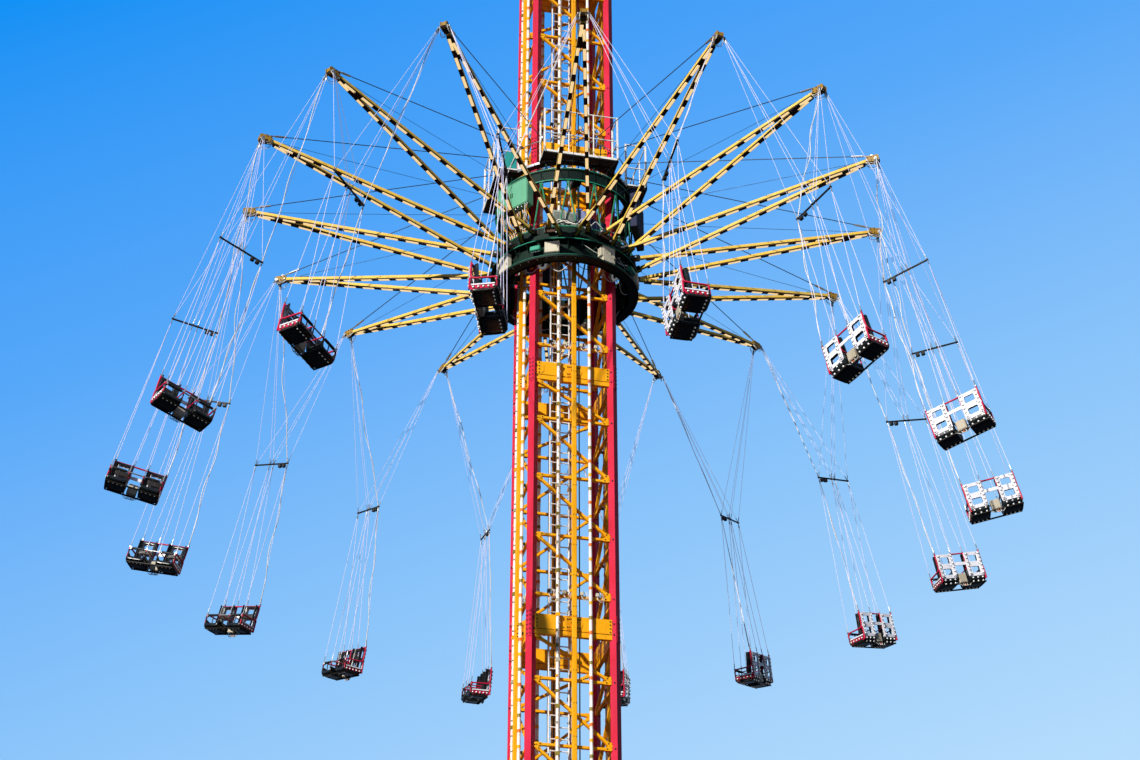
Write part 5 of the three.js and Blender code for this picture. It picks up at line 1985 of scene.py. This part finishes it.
def rigging_cable(rig, start, target, radius, upper, lower):
    """One cable with a slim sleeve at each end, its places given along the cable from that end."""
    way = (target - start).normalized()
    rig.bar(start, target, radius, white_cable, 6)
    rig.bar(start + way * upper[0], start + way * upper[1], upper[2], zinc, 8)
    rig.bar(target - way * lower[1], target - way * lower[0], lower[2], zinc, 8)


def feed_run(start, end, steps, pace, lean):
    """Points from start to end that sway from the straight line, least near the ends."""
    points = []
    for step in range(steps + 1):
        sway = FEED_SWAY * math.sin(step * pace) * math.sin(step / steps * math.pi)
        points.append(start.lerp(end, step / steps) + Vector((sway, sway * lean, 0)))
    return points


def chair_rigging():
    """Pins, the cables that fan to the spreader bar, the bar, and the cables below it."""
    rig = Piece()
    points = (-SPREADER_HALF, -0.055, 0.055, SPREADER_HALF)
    bar = [(end * (SPREADER_HALF + 0.02), 0, SPREADER) for end in (-1, 1)]
    rig.beam(*bar, 0.032, 0.032, black_steel, 0.004)
    for x in points:
        spreader_clamp(rig, x)
    for left in (-0.44, -0.32):
        high = (left + 0.08, 0.035, SPREADER - 0.018)
        rig.block((left, -0.035, SPREADER - 0.1), high, black_rubber, 0.008)
    for end in (-1, 1):
        outer = end * PIN_OUT
        inner = outer - end * 0.06
        rig.bar((0, outer, 0), (0, inner, 0), 0.015, zinc, 12)
        eye = inner + end * 0.015
        rig.put(ring(0.012, 0.036, -0.008, 0.008, 14), shift(0, eye, -0.01) @ STAND, zinc)
        for x in points:
            start = Vector((x * 0.04, eye, -0.02))
            target = Vector((x, 0, SPREADER))
            rigging_cable(rig, start, target, 0.0046, (0.02, 0.12, 0.009), (0.04, 0.14, 0.009))
    for x, below in zip(points, (-SIDE_AT, -INNER_AT, INNER_AT, SIDE_AT)):
        outside = abs(x) > 0.1
        for y, z in ((FRONT_AT, ARM_TOP), (REAR_AT, BACK_TOP if outside else BACK_TOP - 0.03)):
            start = Vector((x, 0, SPREADER))
            target = Vector((below, y, z + 0.01))
            rigging_cable(rig, start, target, 0.006, (0.04, 0.14, 0.009), (0.02, 0.13, 0.01))
    top = Vector((0.02, PIN_IN, -0.05))
    knee = Vector((-SPREADER_HALF, 0, SPREADER))
    foot = Vector((-SIDE_AT, REAR_AT * 0.95, BACK_TOP))
    feed = feed_run(top, knee, 18, 0.8, 0.6) + feed_run(knee, foot, 14, 0.9, 0.4)[1:]
    rig.put(hose(feed, 0.009, 1, 3), Matrix(), white_hose)
    return rig.mesh("rigging")


def chairs():
    """Sixteen chairs, each half way between two arm tips, hung out by the swing."""
    seats = chair_seats()
    pads = chair_pads()
    rigging = chair_rigging()
    pivot = shift(z=RING + TIP_RISE - PIVOT_DROP)
    hang = Matrix.Rotation(-SWING, 4, "Y")
    for number in range(ARMS):
        label = f"{number + 1:02d}"
        angle = STAR_TURN + (number + 0.5) * ARM_STEP
        place = pivot @ turn(angle) @ shift(PIVOT_RADIUS) @ hang
        body = "chair_" + label
        seated = placed(seats, "chair_seats_" + label, place)
        hung = placed(rigging, "chair_rigging_" + label, place)
        padded = placed(pads, "seat_pads_" + label, place)
        show(seated, body, ["seats_" + label])
        show(hung, body, ["hanger_" + label])
        cushions = show(padded, body)


camera()
light()
backdrop()
floor()
mast_faces()
chord_fittings()
climbing_ladder()
hoist_ropes()
head_works()
base_grillage()
carriage_drum()
service_deck()
louvred_cabinets()
low_cabinet()
mast_lamps()
star_drums()
hung_cabinet()
shell_boxes()
arm_pairs()
stays()
chairs()
